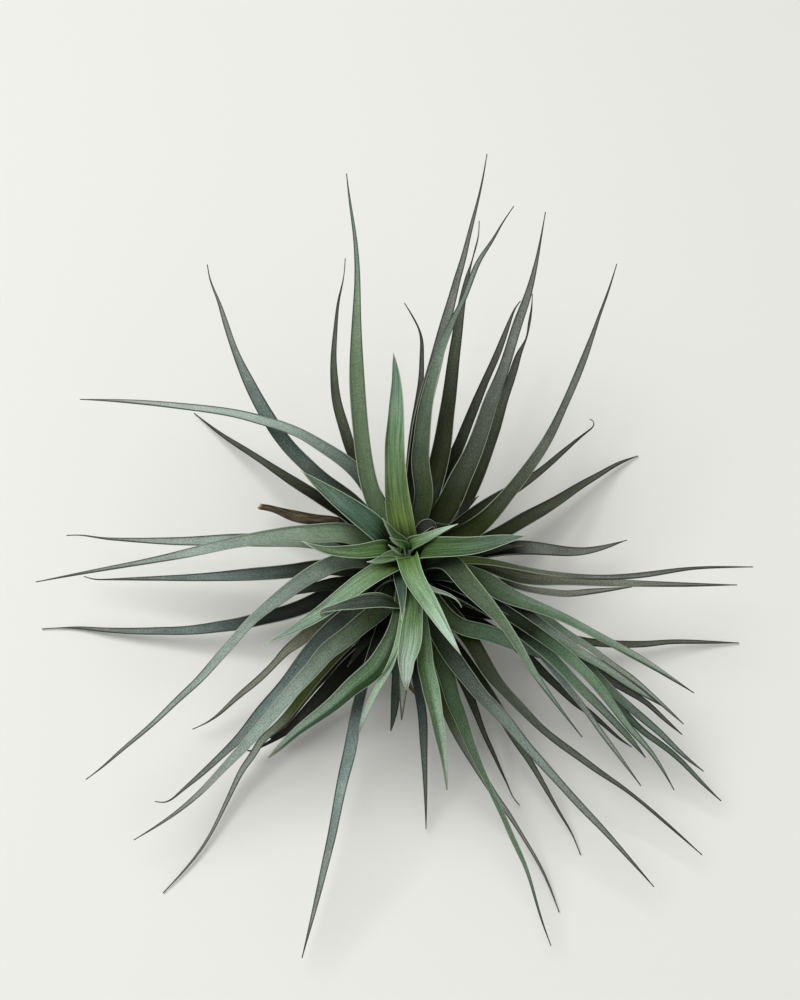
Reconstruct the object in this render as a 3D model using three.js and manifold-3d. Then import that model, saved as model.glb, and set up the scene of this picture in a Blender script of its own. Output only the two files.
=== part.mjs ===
// Dark air plant: a loose rosette of narrow channelled leaves on a short stem, standing on its woody foot.
// Millimetres, +Z up along the stem, origin at the centre of the flat face under the foot.
import * as THREE from 'three';
import { mergeVertices } from 'three/addons/utils/BufferGeometryUtils.js';
import Module from 'manifold-3d';

const wasm = await Module();
wasm.setup();

// The stem: a brown woody foot, a green stem that carries the grown leaves, and the growing tip.
const FOOT_RADIUS = 6;
const FOOT_CHAMFER = { across: 0.6, up: 1.2 };
const FOOT_WAIST = { radius: 4.8, height: 6 };
const FOOT_TOP = 12;
const STEM_RADIUS = 4.2;
const STEM_TOP_RADIUS = 3.2;
const STEM_TOP = 40;
const TIP_RADIUS = 2.8;
const TIP_CROWN_RADIUS = 1.2;
const TIP_TOP = 47;
const STEM_SIDES = 14;

// One colour of the plant stands clear of the next by this much.
const JOINT_GAP = 0.3;
const CLEARANCE = 0.35;

// A leaf starts inside the stem, hugs it upwards as a sheath, and only then leans out.
const ROOT_INSIDE_STEM = 1.6;
const GROWN_SHEATH = { radius: 5.2, rise: 4.5, lowestRoot: 14.2 };
const HEART_SHEATH = { radius: 3.6, rise: 2.6, lowestRoot: 41.6 };
const DRY_SHEATH = { radius: 6, rise: 3, lowestRoot: 3 };

// Blades: leathery and thin, thickest along the keel, narrowing to a wiry point.
const EDGE_THICKNESS = 0.62;
const KEEL_THICKNESS = 1.0;
const POINT_WIDTH = 1.1;
const POINT_THICKNESS_SHARE = 0.8;
const NECK_SHARE = 0.8;
const USUAL_FOLD = 0.24;
const USUAL_TAPER = 0.85;

// How finely a midline is walked and how many rings a blade has: more where it bends, and closer
// together near the stem.
const WALK_STEPS = 160;
const STRAIGHT_RINGS = 6;
const DEGREES_PER_EXTRA_RING = 24;
const EXTRA_RINGS_AT_MOST = 5;
const RING_CROWDING = 1.25;

// Short grown leaves packed low round the stem under the long ones.
const GOLDEN_ANGLE = THREE.MathUtils.degToRad(137.508);
const UNDER_LEAVES = 12;
const UNDER_FOOT = { lowest: 17, highest: 33 };
const UNDER_REACH = [24, 33];
const UNDER_RISE = [-2, 9];
const UNDER_BEND = { reach: 0.55, rise: 0.8 };
const UNDER_WIDTH = [4.0, 5.0];
const UNDER_SWERVE = [-0.2, 0.2];
const UNDER_SEED = 41;

// Withered leaves close under the plant.
const WITHERED_LEAVES = 9;
const WITHERED_START = 0.4;
const WITHERED_FOOT = [6.5, 10];
const WITHERED_REACH = [18, 26];
const WITHERED_BEND = 0.6;
const WITHERED_TIP = [1.2, 4];
const WITHERED_WIDTH = [3.2, 4.6];
const WITHERED_SWERVE = [-0.25, 0.25];
const WITHERED_FOLD = 0.4;
const WITHERED_SEED = 7;

// The wiry roots of the foot, which run out along the table.
const ROOTS = 5;
const ROOT_START = 0.9;
const ROOT_THICKNESS = 1.3;
const ROOT_TAPER = 0.3;
const ROOT_FOOT = [2.5, 4];
const ROOT_REACH = [13, 19];
const ROOT_SPREAD = 0.3;
const ROOT_COURSE = [
  { share: 0.5, sway: 0.1, height: 2.5 },
  { share: 0.8, sway: 0.4, height: 1.2 },
  { share: 1.0, sway: 0.7, height: 0.8 },
];
const ROOT_SEED = 19;

// The viewpoint that the leaves' places were read from: 62 degrees above the table, 480 mm away, with
// 0.25 mm to a pixel at the plant and the growing tip at pixel (405, 545) of an 800 by 1000 picture.
const VIEW_ELEVATION = THREE.MathUtils.degToRad(62);
const VIEW_DISTANCE = 480;
const PIXEL = 0.25;
const PICTURE_CENTRE = new THREE.Vector2(400, 500);
const TIP_PIXEL = new THREE.Vector2(405, 545);
const TIP_HEIGHT = 46;

// Each leaf: the height where it leaves the stem and its blade's width where it comes into view, in
// millimetres, and the places that its midline passes on the way to its point. A place is pixels
// across and down the picture, then millimetres above the table. fold is how far the margins stand
// up for half a blade's width, and a lower taper keeps the blade broad for longer.
const HEART_LEAVES = [
  {
    name: 'tall', foot: 44, width: 6.6, fold: 0.3, taper: 0.75,
    path: [[394, 450, 66], [395, 400, 74], [393, 353, 80]],
  },
  { name: 'blue_left', foot: 43, width: 7.0, path: [[345, 508, 55], [301, 471, 58]] },
  { name: 'left_low', foot: 43, width: 4.8, path: [[352, 553, 53], [322, 549, 52], [301, 540, 52]] },
  {
    name: 'bud_a', foot: 45, width: 3.0, fold: 0.5,
    path: [[385, 561, 51], [376, 564, 53], [367, 562, 55]],
  },
  { name: 'bud_b', foot: 45, width: 3.2, path: [[390, 531, 54], [383, 518, 58]], fold: 0.4 },
  { name: 'bud_c', foot: 45, width: 1.8, path: [[396, 548, 51], [389, 541, 54]], fold: 0.5 },
  { name: 'bud_d', foot: 45, width: 4.0, path: [[430, 538, 50], [459, 524, 51]] },
  { name: 'right_wide', foot: 43, width: 6.6, path: [[444, 549, 53], [486, 544, 54], [526, 536, 52]] },
  { name: 'front_right', foot: 44, width: 6.0, path: [[413, 575, 53], [432, 608, 56], [460, 655, 57]] },
  { name: 'left_front', foot: 42.5, width: 5.4, path: [[359, 583, 52], [323, 614, 49], [264, 645, 42]] },
  { name: 'front_dark', foot: 42.5, width: 4.2, path: [[402, 590, 49], [402, 619, 48]] },
  {
    name: 'hooked', foot: 42.5, width: 4.6, fold: 0.3,
    path: [[388, 600, 47], [359, 599, 49], [341, 603, 48], [321, 613, 44]],
  },
  { name: 'curl', foot: 42.5, width: 1.4, path: [[441, 592, 46], [460, 606, 43]] },
  {
    name: 'front', foot: 42.5, width: 6.3, fold: 0.3, taper: 0.6,
    path: [[411, 625, 52], [409, 650, 51], [405, 690, 48]],
  },
];
const MATURE_LEAVES = [
  { name: 'front_1', foot: 34, width: 2.8, path: [[406, 670, 38], [401, 719, 32]] },
  { name: 'front_2', foot: 30, width: 2.8, path: [[398, 690, 28], [391, 731, 20]] },
  { name: 'front_3', foot: 22, width: 2.8, path: [[420, 700, 22], [424, 757, 12], [426, 829, 2]] },
  { name: 'front_4', foot: 36, width: 3.6, path: [[428, 672, 44], [438, 715, 41], [447, 790, 33]] },
  { name: 'front_5', foot: 36, width: 2.5, path: [[388, 666, 43], [358, 733, 35]] },
  {
    name: 'front_6', foot: 37, width: 6.4, fold: 0.4,
    path: [[388, 640, 44], [357, 684, 40], [312, 722, 32], [268, 757, 24]],
  },
  {
    name: 'back_curl', foot: 38, width: 1.2,
    path: [[425, 532, 45], [437, 522, 46], [450, 524, 46], [459, 511, 45], [460, 500, 45]],
  },
  {
    name: 'left_1', foot: 33, width: 4.6,
    path: [[352, 466, 46], [300, 434, 51], [200, 409, 48], [80, 399, 40]],
  },
  {
    name: 'left_2', foot: 18, width: 5.6,
    path: [[330, 508, 19], [294, 482, 14], [250, 452, 7], [194, 412, 0.5]],
  },
  {
    name: 'left_3', foot: 30, width: 5.2,
    path: [[350, 500, 36], [292, 450, 44], [255, 395, 50], [207, 264, 58]],
  },
  { name: 'left_4', foot: 28, width: 4.2, path: [[290, 545, 30], [180, 542, 24], [67, 535, 18]] },
  {
    name: 'left_5', foot: 38, width: 6.6,
    path: [[325, 534, 48], [219, 548, 46], [120, 571, 38], [36, 582, 31]],
  },
  {
    name: 'left_6', foot: 22, width: 5.2,
    path: [[300, 572, 24], [200, 577, 15], [120, 579, 10], [84, 576, 8]],
  },
  {
    name: 'left_7', foot: 35, width: 5.0,
    path: [[325, 567, 47], [282, 584, 47], [237, 632, 43], [157, 720, 33], [86, 779, 24]],
  },
  {
    name: 'left_8', foot: 16, width: 5.4,
    path: [[312, 606, 15], [250, 622, 10], [187, 631, 5], [120, 630, 2], [42, 629, 0.5]],
  },
  { name: 'left_9', foot: 20, width: 3.4, path: [[297, 645, 21], [244, 696, 12], [193, 729, 5]] },
  {
    name: 'left_10', foot: 28, width: 4.8,
    path: [[325, 632, 32], [272, 688, 26], [219, 755, 18], [185, 790, 14], [155, 802, 11]],
  },
  {
    name: 'left_11', foot: 32, width: 7.0,
    path: [[342, 642, 38], [284, 697, 31], [224, 765, 22], [178, 813, 15], [135, 839, 11]],
  },
  {
    name: 'left_12', foot: 18, width: 4.0,
    path: [[350, 668, 17], [300, 720, 10], [262, 748, 5], [250, 751, 4], [243, 744, 5]],
  },
  {
    name: 'left_13', foot: 16, width: 2.4,
    path: [[290, 705, 12], [256, 748, 7], [227, 807, 3], [163, 893, 0.5]],
  },
  {
    name: 'left_14', foot: 30, width: 4.0, taper: 0.75,
    path: [[364, 700, 32], [344, 777, 27], [332, 840, 21], [302, 958, 8]],
  },
  {
    name: 'back_1', foot: 36, width: 4.8,
    path: [[367, 465, 48], [357, 340, 64], [355, 240, 73], [347, 173, 76]],
  },
  {
    name: 'back_2', foot: 24, width: 3.4,
    path: [[350, 450, 30], [334, 360, 38], [340, 300, 41], [345, 259, 42]],
  },
  {
    name: 'back_3', foot: 20, width: 2.2,
    path: [[413, 430, 26], [421, 370, 31], [421, 335, 33], [405, 304, 34]],
  },
  {
    name: 'back_4', foot: 32, width: 4.7,
    path: [[424, 400, 45], [442, 336, 54], [464, 248, 64], [487, 154, 70]],
  },
  {
    name: 'back_5', foot: 38, width: 5.2,
    path: [[420, 460, 52], [430, 395, 60], [448, 327, 67], [473, 273, 71], [513, 206, 72]],
  },
  {
    name: 'back_6', foot: 26, width: 5.4,
    path: [[442, 460, 34], [455, 370, 41], [467, 295, 45], [479, 220, 46]],
  },
  {
    name: 'back_7', foot: 36, width: 5.9,
    path: [[462, 475, 46], [484, 424, 52], [514, 345, 60], [535, 277, 64], [545, 212, 66]],
  },
  {
    name: 'back_8', foot: 30, width: 4.0,
    path: [[455, 455, 30], [477, 395, 36], [509, 324, 41], [521, 299, 42]],
  },
  {
    name: 'back_9', foot: 22, width: 4.4, taper: 0.7,
    path: [[468, 480, 27], [493, 424, 33], [518, 362, 38], [532, 290, 39]],
  },
  {
    name: 'back_10', foot: 34, width: 5.2,
    path: [[500, 507, 40], [530, 467, 44], [577, 362, 49], [606, 291, 50], [617, 265, 50]],
  },
  {
    name: 'back_11', foot: 26, width: 3.8,
    path: [[490, 500, 28], [530, 478, 25], [568, 448, 22], [592, 428, 21], [594, 421, 21], [589, 418, 21]],
  },
  {
    name: 'right_1', foot: 20, width: 4.6,
    path: [[510, 526, 18], [556, 500, 11], [600, 473, 4], [638, 456, 0.5]],
  },
  { name: 'right_2', foot: 24, width: 4.7, path: [[520, 549, 24], [580, 552, 17], [627, 540, 12]] },
  {
    name: 'right_3', foot: 32, width: 3.6, fold: 0.5,
    path: [[500, 561, 38], [556, 572, 37], [615, 579, 35], [680, 573, 33], [753, 569, 31]],
  },
  {
    name: 'right_4', foot: 29, width: 3.2,
    path: [[520, 572, 34], [586, 582, 31], [660, 585, 27], [737, 584, 24]],
  },
  {
    name: 'right_5', foot: 26, width: 2.8,
    path: [[525, 584, 28], [575, 594, 25], [612, 594, 22], [640, 587, 20]],
  },
  {
    name: 'right_6', foot: 16, width: 2.7, taper: 0.7,
    path: [[580, 643, 12], [620, 646, 8], [665, 643, 4], [739, 643, 0.5]],
  },
  {
    name: 'right_7', foot: 34, width: 5.4,
    path: [[505, 588, 41], [560, 614, 41], [616, 645, 37], [694, 693, 31]],
  },
  {
    name: 'right_8', foot: 30, width: 2.9,
    path: [[550, 630, 33], [602, 658, 31], [658, 699, 25], [683, 724, 22]],
  },
  {
    name: 'right_9', foot: 32, width: 5.4,
    path: [[535, 622, 36], [574, 646, 33], [630, 683, 28], [660, 705, 24]],
  },
  {
    name: 'right_10', foot: 26, width: 3.5,
    path: [[545, 636, 28], [602, 674, 25], [658, 714, 18], [681, 734, 15]],
  },
  {
    name: 'right_11', foot: 28, width: 4.4,
    path: [[550, 635, 29], [600, 673, 25], [644, 718, 20], [703, 771, 13]],
  },
  {
    name: 'right_12', foot: 22, width: 4.0,
    path: [[570, 665, 21], [619, 708, 16], [670, 755, 11], [721, 801, 6]],
  },
  {
    name: 'right_13', foot: 33, width: 4.6,
    path: [[545, 642, 37], [590, 680, 33], [638, 738, 27], [674, 790, 22]],
  },
  {
    name: 'right_14', foot: 32, width: 4.4,
    path: [[535, 645, 34], [575, 684, 30], [616, 729, 24], [645, 757, 20]],
  },
  {
    name: 'right_15', foot: 30, width: 3.4,
    path: [[520, 632, 31], [560, 676, 27], [597, 725, 22], [641, 785, 16]],
  },
  {
    name: 'right_16', foot: 33, width: 6.4, taper: 0.75,
    path: [[465, 626, 36], [515, 645, 33], [553, 673, 26]],
  },
  {
    name: 'right_17', foot: 18, width: 4.2,
    path: [[520, 655, 22], [560, 688, 16], [591, 717, 10], [631, 747, 4]],
  },
  {
    name: 'right_18', foot: 37, width: 6.2, fold: 0.4,
    path: [[474, 588, 49], [498, 622, 50], [515, 650, 49], [545, 695, 44], [582, 736, 38]],
  },
  {
    name: 'low_1', foot: 30, width: 4.8,
    path: [[487, 655, 30], [517, 706, 27], [558, 742, 22], [615, 780, 15], [702, 855, 7]],
  },
  {
    name: 'low_2', foot: 34, width: 5.6,
    path: [[462, 662, 38], [501, 713, 34], [539, 757, 30], [598, 823, 21], [654, 887, 11]],
  },
  {
    name: 'low_3', foot: 18, width: 3.0,
    path: [[507, 720, 16], [538, 766, 9], [563, 815, 4], [581, 855, 0.5]],
  },
  {
    name: 'low_4', foot: 18, width: 3.4,
    path: [[468, 700, 16], [484, 731, 11], [500, 764, 7], [520, 805, 2]],
  },
  {
    name: 'low_5', foot: 30, width: 5.2,
    path: [[455, 685, 34], [474, 750, 29], [503, 813, 22], [534, 885, 12], [551, 946, 6]],
  },
  {
    name: 'low_6', foot: 20, width: 4.0,
    path: [[455, 715, 20], [493, 784, 13], [533, 846, 6], [559, 912, 0.5]],
  },
];
const DRY_LEAVES = [
  {
    name: 'broken', foot: 9, width: 4.4, taper: 0.6,
    path: [[330, 523, 14], [294, 517, 13], [259, 506, 10]],
  },
  { name: 'strip', foot: 9, width: 1.6, path: [[320, 685, 9], [270, 737, 2]] },
];

// A steady stream of draws from a range, the same on every run.
function seededDraw(seed) {
  let state = seed;
  return ([low, high]) => {
    state = (state * 1664525 + 1013904223) % 4294967296;
    return low + (high - low) * (state / 4294967296);
  };
}

function polar(angle, radius, height) {
  return new THREE.Vector3(radius * Math.cos(angle), radius * Math.sin(angle), height);
}

// The point at a given height on the line of sight through a pixel of the picture.
function pointSeenAt([across, down, height]) {
  const right = new THREE.Vector3(1, 0, 0);
  const up = new THREE.Vector3(0, Math.sin(VIEW_ELEVATION), Math.cos(VIEW_ELEVATION));
  const back = new THREE.Vector3(0, -Math.cos(VIEW_ELEVATION), Math.sin(VIEW_ELEVATION));
  const eye = new THREE.Vector3(0, 0, TIP_HEIGHT)
    .addScaledVector(right, (PICTURE_CENTRE.x - TIP_PIXEL.x) * PIXEL)
    .addScaledVector(up, (TIP_PIXEL.y - PICTURE_CENTRE.y) * PIXEL)
    .addScaledVector(back, VIEW_DISTANCE);
  const sight = new THREE.Vector3()
    .addScaledVector(right, (across - PICTURE_CENTRE.x) * PIXEL)
    .addScaledVector(up, (PICTURE_CENTRE.y - down) * PIXEL)
    .addScaledVector(back, -VIEW_DISTANCE);
  return eye.addScaledVector(sight, (height - eye.z) / sight.z);
}

// The two points where a leaf leaves the stem: its root inside it and the top of its sheath beside it.
function rootAndSheath(angle, height, sheath) {
  const root = Math.max(height - sheath.rise, sheath.lowestRoot);
  return [polar(angle, ROOT_INSIDE_STEM, root), polar(angle, sheath.radius, height)];
}

// Natural cubic spline through the points, with the chord lengths as its parameter.
function naturalSpline(points) {
  const knots = [0];
  for (let i = 1; i < points.length; i += 1) {
    knots.push(knots[i - 1] + points[i].distanceTo(points[i - 1]));
  }
  const last = points.length - 2;
  const step = (i) => knots[i + 1] - knots[i];
  const slope = (i) => points[i + 1].clone().sub(points[i]).divideScalar(step(i));
  const bend = points.map(() => new THREE.Vector3());
  const ratio = [0];
  for (let i = 1; i <= last; i += 1) {
    const pivot = 2 * (step(i - 1) + step(i)) - step(i - 1) * ratio[i - 1];
    const turn = slope(i).sub(slope(i - 1)).multiplyScalar(6);
    ratio.push(step(i) / pivot);
    bend[i].copy(turn.addScaledVector(bend[i - 1], -step(i - 1)).divideScalar(pivot));
  }
  for (let i = last; i > 0; i -= 1) {
    bend[i].addScaledVector(bend[i + 1], -ratio[i]);
  }
  const at = (parameter) => {
    const next = knots.findIndex((knot) => knot > parameter);
    const span = next < 0 ? last : next - 1;
    const before = (knots[span + 1] - parameter) / step(span);
    const after = 1 - before;
    const pull = (share) => ((share ** 3 - share) * step(span) ** 2) / 6;
    return new THREE.Vector3()
      .addScaledVector(points[span], before)
      .addScaledVector(points[span + 1], after)
      .addScaledVector(bend[span], pull(before))
      .addScaledVector(bend[span + 1], pull(after));
  };
  return { at, knots };
}

// The midline's rings, as places and shares of the leaf's length, and the share at which the leaf
// comes into view, at its third point.
function midline(points) {
  const { at, knots } = naturalSpline(points);
  const end = knots[knots.length - 1];
  const fine = Array.from({ length: WALK_STEPS + 1 }, (_, i) => at((end * i) / WALK_STEPS));
  const walked = [0];
  let turned = 0;
  for (let i = 1; i <= WALK_STEPS; i += 1) {
    walked.push(walked[i - 1] + fine[i].distanceTo(fine[i - 1]));
    if (i > 1) {
      const before = fine[i - 1].clone().sub(fine[i - 2]);
      turned += before.angleTo(fine[i].clone().sub(fine[i - 1]));
    }
  }
  const length = walked[WALK_STEPS];
  const extra = Math.round(THREE.MathUtils.radToDeg(turned) / DEGREES_PER_EXTRA_RING);
  const rings = STRAIGHT_RINGS + Math.min(extra, EXTRA_RINGS_AT_MOST);
  const shares = Array.from({ length: rings }, (_, i) => (i / (rings - 1)) ** RING_CROWDING);
  const places = shares.map((share) => {
    const target = length * share;
    const next = Math.min(WALK_STEPS, Math.max(1, walked.findIndex((distance) => distance >= target)));
    const part = (target - walked[next - 1]) / (walked[next] - walked[next - 1]);
    return fine[next - 1].clone().lerp(fine[next], Math.min(1, part));
  });
  const firstSeen = walked[Math.round((WALK_STEPS * knots[2]) / end)] / length;
  return { places, shares, firstSeen };
}

// Widening from its neck up to where the leaf comes into view, then a steady taper to the wiry point.
function bladeWidth(share, { width, taper = USUAL_TAPER }, firstSeen) {
  const body = share < firstSeen
    ? width * THREE.MathUtils.lerp(NECK_SHARE, 1, share / firstSeen)
    : width * ((1 - share) / (1 - firstSeen)) ** taper;
  return Math.max(body, POINT_WIDTH);
}

// A channelled blade: each ring has the two margins raised above the keel, on both faces. swell grows
// the blade on all sides, and nothing reaches below the table.
function bladeGeometry(points, leaf, swell = 0) {
  const sides = 6;
  const { places, shares, firstSeen } = midline(points);
  const { fold = USUAL_FOLD } = leaf;
  const vertices = [];
  const indices = [];
  let across = null;
  places.forEach((place, i) => {
    const before = places[Math.max(0, i - 1)];
    const after = places[Math.min(places.length - 1, i + 1)];
    const along = after.clone().sub(before).normalize();
    across = across ?? new THREE.Vector3(0, 0, 1).cross(along).normalize();
    across.addScaledVector(along, -across.dot(along)).normalize();
    const normal = along.clone().cross(across);
    const blade = bladeWidth(shares[i], leaf, firstSeen);
    const half = blade / 2 + swell;
    const raise = (fold * half) / 2;
    const keel = Math.min(KEEL_THICKNESS, blade * POINT_THICKNESS_SHARE) / 2 + swell;
    const edge = Math.min(EDGE_THICKNESS, blade * POINT_THICKNESS_SHARE) / 2 + swell;
    const section = [
      [-half, raise + edge],
      [0, keel - raise],
      [half, raise + edge],
      [half, raise - edge],
      [0, -keel - raise],
      [-half, raise - edge],
    ];
    section.forEach(([side, rise]) => {
      const corner = place.clone().addScaledVector(across, side).addScaledVector(normal, rise);
      vertices.push(corner.x, corner.y, Math.max(corner.z, 0));
    });
  });
  for (let ring = 0; ring < places.length - 1; ring += 1) {
    for (let k = 0; k < sides; k += 1) {
      const a = ring * sides + k;
      const b = ring * sides + ((k + 1) % sides);
      indices.push(a, a + sides, b, b, a + sides, b + sides);
    }
  }
  const lastRing = (places.length - 1) * sides;
  const cap = [[0, 1, 5], [1, 4, 5], [1, 2, 4], [2, 3, 4]];
  cap.forEach(([a, b, c]) => {
    indices.push(a, b, c);
    indices.push(lastRing + a, lastRing + c, lastRing + b);
  });
  const geometry = new THREE.BufferGeometry();
  geometry.setAttribute('position', new THREE.Float32BufferAttribute(vertices, 3));
  geometry.setIndex(indices);
  return geometry;
}

// A turned piece of the stem, as radius and height pairs from the axis at the bottom to the axis on top.
function stemGeometry(profile) {
  const outline = profile.map(([radius, height]) => new THREE.Vector2(radius, height));
  return new THREE.LatheGeometry(outline, STEM_SIDES).rotateX(Math.PI / 2);
}

function tracedLeaves(rows, sheath) {
  return rows.map((leaf) => {
    const seen = leaf.path.map(pointSeenAt);
    const angle = Math.atan2(seen[0].y, seen[0].x);
    return { points: [...rootAndSheath(angle, leaf.foot, sheath), ...seen], leaf };
  });
}

function underLeaves() {
  const draw = seededDraw(UNDER_SEED);
  return Array.from({ length: UNDER_LEAVES }, (_, i) => {
    const angle = i * GOLDEN_ANGLE;
    const foot = THREE.MathUtils.lerp(UNDER_FOOT.lowest, UNDER_FOOT.highest, i / (UNDER_LEAVES - 1));
    const reach = draw(UNDER_REACH);
    const rise = draw(UNDER_RISE);
    const points = [
      ...rootAndSheath(angle, foot, GROWN_SHEATH),
      polar(angle, reach * UNDER_BEND.reach, foot + rise * UNDER_BEND.rise),
      polar(angle + draw(UNDER_SWERVE), reach, foot + rise),
    ];
    return { points, leaf: { width: draw(UNDER_WIDTH) } };
  });
}

function witheredLeaves() {
  const draw = seededDraw(WITHERED_SEED);
  return Array.from({ length: WITHERED_LEAVES }, (_, i) => {
    const angle = WITHERED_START + i * GOLDEN_ANGLE;
    const foot = draw(WITHERED_FOOT);
    const reach = draw(WITHERED_REACH);
    const points = [
      ...rootAndSheath(angle, foot, DRY_SHEATH),
      polar(angle, reach * WITHERED_BEND, foot),
      polar(angle + draw(WITHERED_SWERVE), reach, draw(WITHERED_TIP)),
    ];
    return { points, leaf: { width: draw(WITHERED_WIDTH), fold: WITHERED_FOLD } };
  });
}

function roots() {
  const draw = seededDraw(ROOT_SEED);
  return Array.from({ length: ROOTS }, (_, i) => {
    const angle = ROOT_START + (i * 2 * Math.PI) / ROOTS + draw([-ROOT_SPREAD, ROOT_SPREAD]);
    const reach = draw(ROOT_REACH);
    const points = [
      polar(angle, ROOT_INSIDE_STEM, draw(ROOT_FOOT)),
      ...ROOT_COURSE.map(({ share, sway, height }) => (
        polar(angle + draw([-sway, sway]), reach * share, height)
      )),
    ];
    return { points, leaf: { width: ROOT_THICKNESS, fold: 0, taper: ROOT_TAPER } };
  });
}

// A closed mesh as a solid, its shared corners merged first.
function solidOf(geometry) {
  const bare = geometry.clone();
  bare.deleteAttribute('normal');
  bare.deleteAttribute('uv');
  const merged = mergeVertices(bare);
  return new wasm.Manifold(new wasm.Mesh({
    numProp: 3,
    vertProperties: new Float32Array(merged.attributes.position.array),
    triVerts: new Uint32Array(merged.index.array),
  }));
}

// What joining seals inside, and any loose scrap, is a body of its own, and only the plant is kept.
function largestBody(solid) {
  return solid.decompose().reduce((best, body) => (body.volume() > best.volume() ? body : best));
}

function grownTogether(stem, blades, swell = 0) {
  const solids = blades.map(({ points, leaf }) => solidOf(bladeGeometry(points, leaf, swell)));
  return largestBody(solids.reduce((body, blade) => body.add(blade), solidOf(stem)));
}

function plantMesh(name, solid, colour, roughness) {
  const { vertProperties, triVerts } = solid.getMesh();
  const geometry = new THREE.BufferGeometry();
  geometry.setAttribute('position', new THREE.Float32BufferAttribute(vertProperties, 3));
  geometry.setIndex(new THREE.Uint32BufferAttribute(triVerts, 1));
  geometry.computeVertexNormals();
  const material = new THREE.MeshStandardMaterial({ color: colour, roughness, metalness: 0 });
  const mesh = new THREE.Mesh(geometry, material);
  mesh.name = name;
  return mesh;
}

const woodyFoot = stemGeometry([
  [0, 0],
  [FOOT_RADIUS - FOOT_CHAMFER.across, 0],
  [FOOT_RADIUS, FOOT_CHAMFER.up],
  [FOOT_WAIST.radius, FOOT_WAIST.height],
  [STEM_RADIUS, FOOT_TOP],
  [0, FOOT_TOP],
]);
const greenStem = stemGeometry([
  [0, FOOT_TOP + JOINT_GAP],
  [STEM_RADIUS, FOOT_TOP + JOINT_GAP],
  [STEM_RADIUS, (FOOT_TOP + STEM_TOP) / 2],
  [STEM_TOP_RADIUS, STEM_TOP],
  [0, STEM_TOP],
]);
const growingTip = (swell) => stemGeometry([
  [0, STEM_TOP + JOINT_GAP - swell],
  [TIP_RADIUS + swell, STEM_TOP + JOINT_GAP - swell],
  [TIP_RADIUS + swell, TIP_TOP - TIP_RADIUS],
  [TIP_CROWN_RADIUS + swell, TIP_TOP + swell],
  [0, TIP_TOP + swell],
]);

// The grown leaves make room for the heart leaves that lie across them.
const heartBlades = tracedLeaves(HEART_LEAVES, HEART_SHEATH);
const heart = grownTogether(growingTip(0), heartBlades);
const roomForHeart = grownTogether(growingTip(CLEARANCE), heartBlades, CLEARANCE);
const grown = grownTogether(greenStem, [...tracedLeaves(MATURE_LEAVES, GROWN_SHEATH), ...underLeaves()]);
const mature = largestBody(grown.subtract(roomForHeart));
const dry = grownTogether(woodyFoot, [
  ...tracedLeaves(DRY_LEAVES, DRY_SHEATH),
  ...witheredLeaves(),
  ...roots(),
]);

const plant = new THREE.Group();
plant.add(
  plantMesh('dry_base', dry, 0x4a3b2a, 0.9),
  plantMesh('mature_leaves', mature, 0x47573f, 0.7),
  plantMesh('heart_leaves', heart, 0x6d8f58, 0.6),
);

export default plant;
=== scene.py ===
import math

import bpy
import numpy as np
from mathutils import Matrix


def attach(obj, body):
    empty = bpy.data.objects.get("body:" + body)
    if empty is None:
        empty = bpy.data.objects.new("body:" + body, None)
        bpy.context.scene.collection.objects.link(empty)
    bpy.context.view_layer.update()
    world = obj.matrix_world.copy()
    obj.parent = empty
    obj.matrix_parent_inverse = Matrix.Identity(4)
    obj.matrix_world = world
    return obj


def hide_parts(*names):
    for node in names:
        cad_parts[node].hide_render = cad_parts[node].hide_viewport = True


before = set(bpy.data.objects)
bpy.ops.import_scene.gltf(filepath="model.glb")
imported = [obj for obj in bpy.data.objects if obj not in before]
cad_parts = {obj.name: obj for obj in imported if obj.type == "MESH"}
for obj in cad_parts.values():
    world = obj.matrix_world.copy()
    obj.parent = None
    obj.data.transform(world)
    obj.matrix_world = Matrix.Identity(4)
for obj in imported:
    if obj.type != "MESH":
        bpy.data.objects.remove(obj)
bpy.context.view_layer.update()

# The studio: a plain pale floor under a large soft light, with paler light from all round, and the
# camera where the plant's picture was taken from, 62 degrees above the floor and 480 mm away. There a
# pixel of the 800 by 1000 picture is 0.25 mm, and the growing tip is at pixel (405, 545).
MM = 0.001
PICTURE_WIDTH = 800
PICTURE_HEIGHT = 1000
PIXEL_MM = 0.25
VIEW_DISTANCE_MM = 480
VIEW_ELEVATION = math.radians(62)
TIP_PIXEL = (405, 545)
TIP_MM = np.array((0, 0, 46))
VIEW_RIGHT = np.array((1, 0, 0))
VIEW_UP = np.array((0, math.sin(VIEW_ELEVATION), math.cos(VIEW_ELEVATION)))
VIEW_BACK = np.array((0, -math.cos(VIEW_ELEVATION), math.sin(VIEW_ELEVATION)))
SENSOR_MM = 36
FLOOR_HALF_WIDTH_MM = 4000
FLOOR_COLOUR = "#e6e6e2"
FLOOR_ROUGHNESS = 0.9
SURROUND_STRENGTH = 0.36
SOFT_LIGHTS = [
    {"name": "key", "place_mm": (-420, 160, 1150), "size_mm": 900, "watts": 13.4},
    {"name": "fill", "place_mm": (700, -700, 900), "size_mm": 1200, "watts": 2.5},
]


def sight(across, down):
    """The way from the eye to a pixel: its distance right and up of the picture's middle, and the view
    distance forward, in millimetres."""
    return (
        VIEW_RIGHT * (across - PICTURE_WIDTH / 2) * PIXEL_MM
        + VIEW_UP * (PICTURE_HEIGHT / 2 - down) * PIXEL_MM
        - VIEW_BACK * VIEW_DISTANCE_MM
    )


def linear(hex_colour):
    """An sRGB hex colour as linear red, green and blue: (c + 0.055) / 1.055 to the power of 2.4, or
    c / 12.92 for the darkest values."""
    coded = np.array([int(hex_colour[i : i + 2], 16) for i in (1, 3, 5)]) / 255
    return np.where(coded > 0.04045, ((coded + 0.055) / 1.055) ** 2.4, coded / 12.92)


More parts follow.
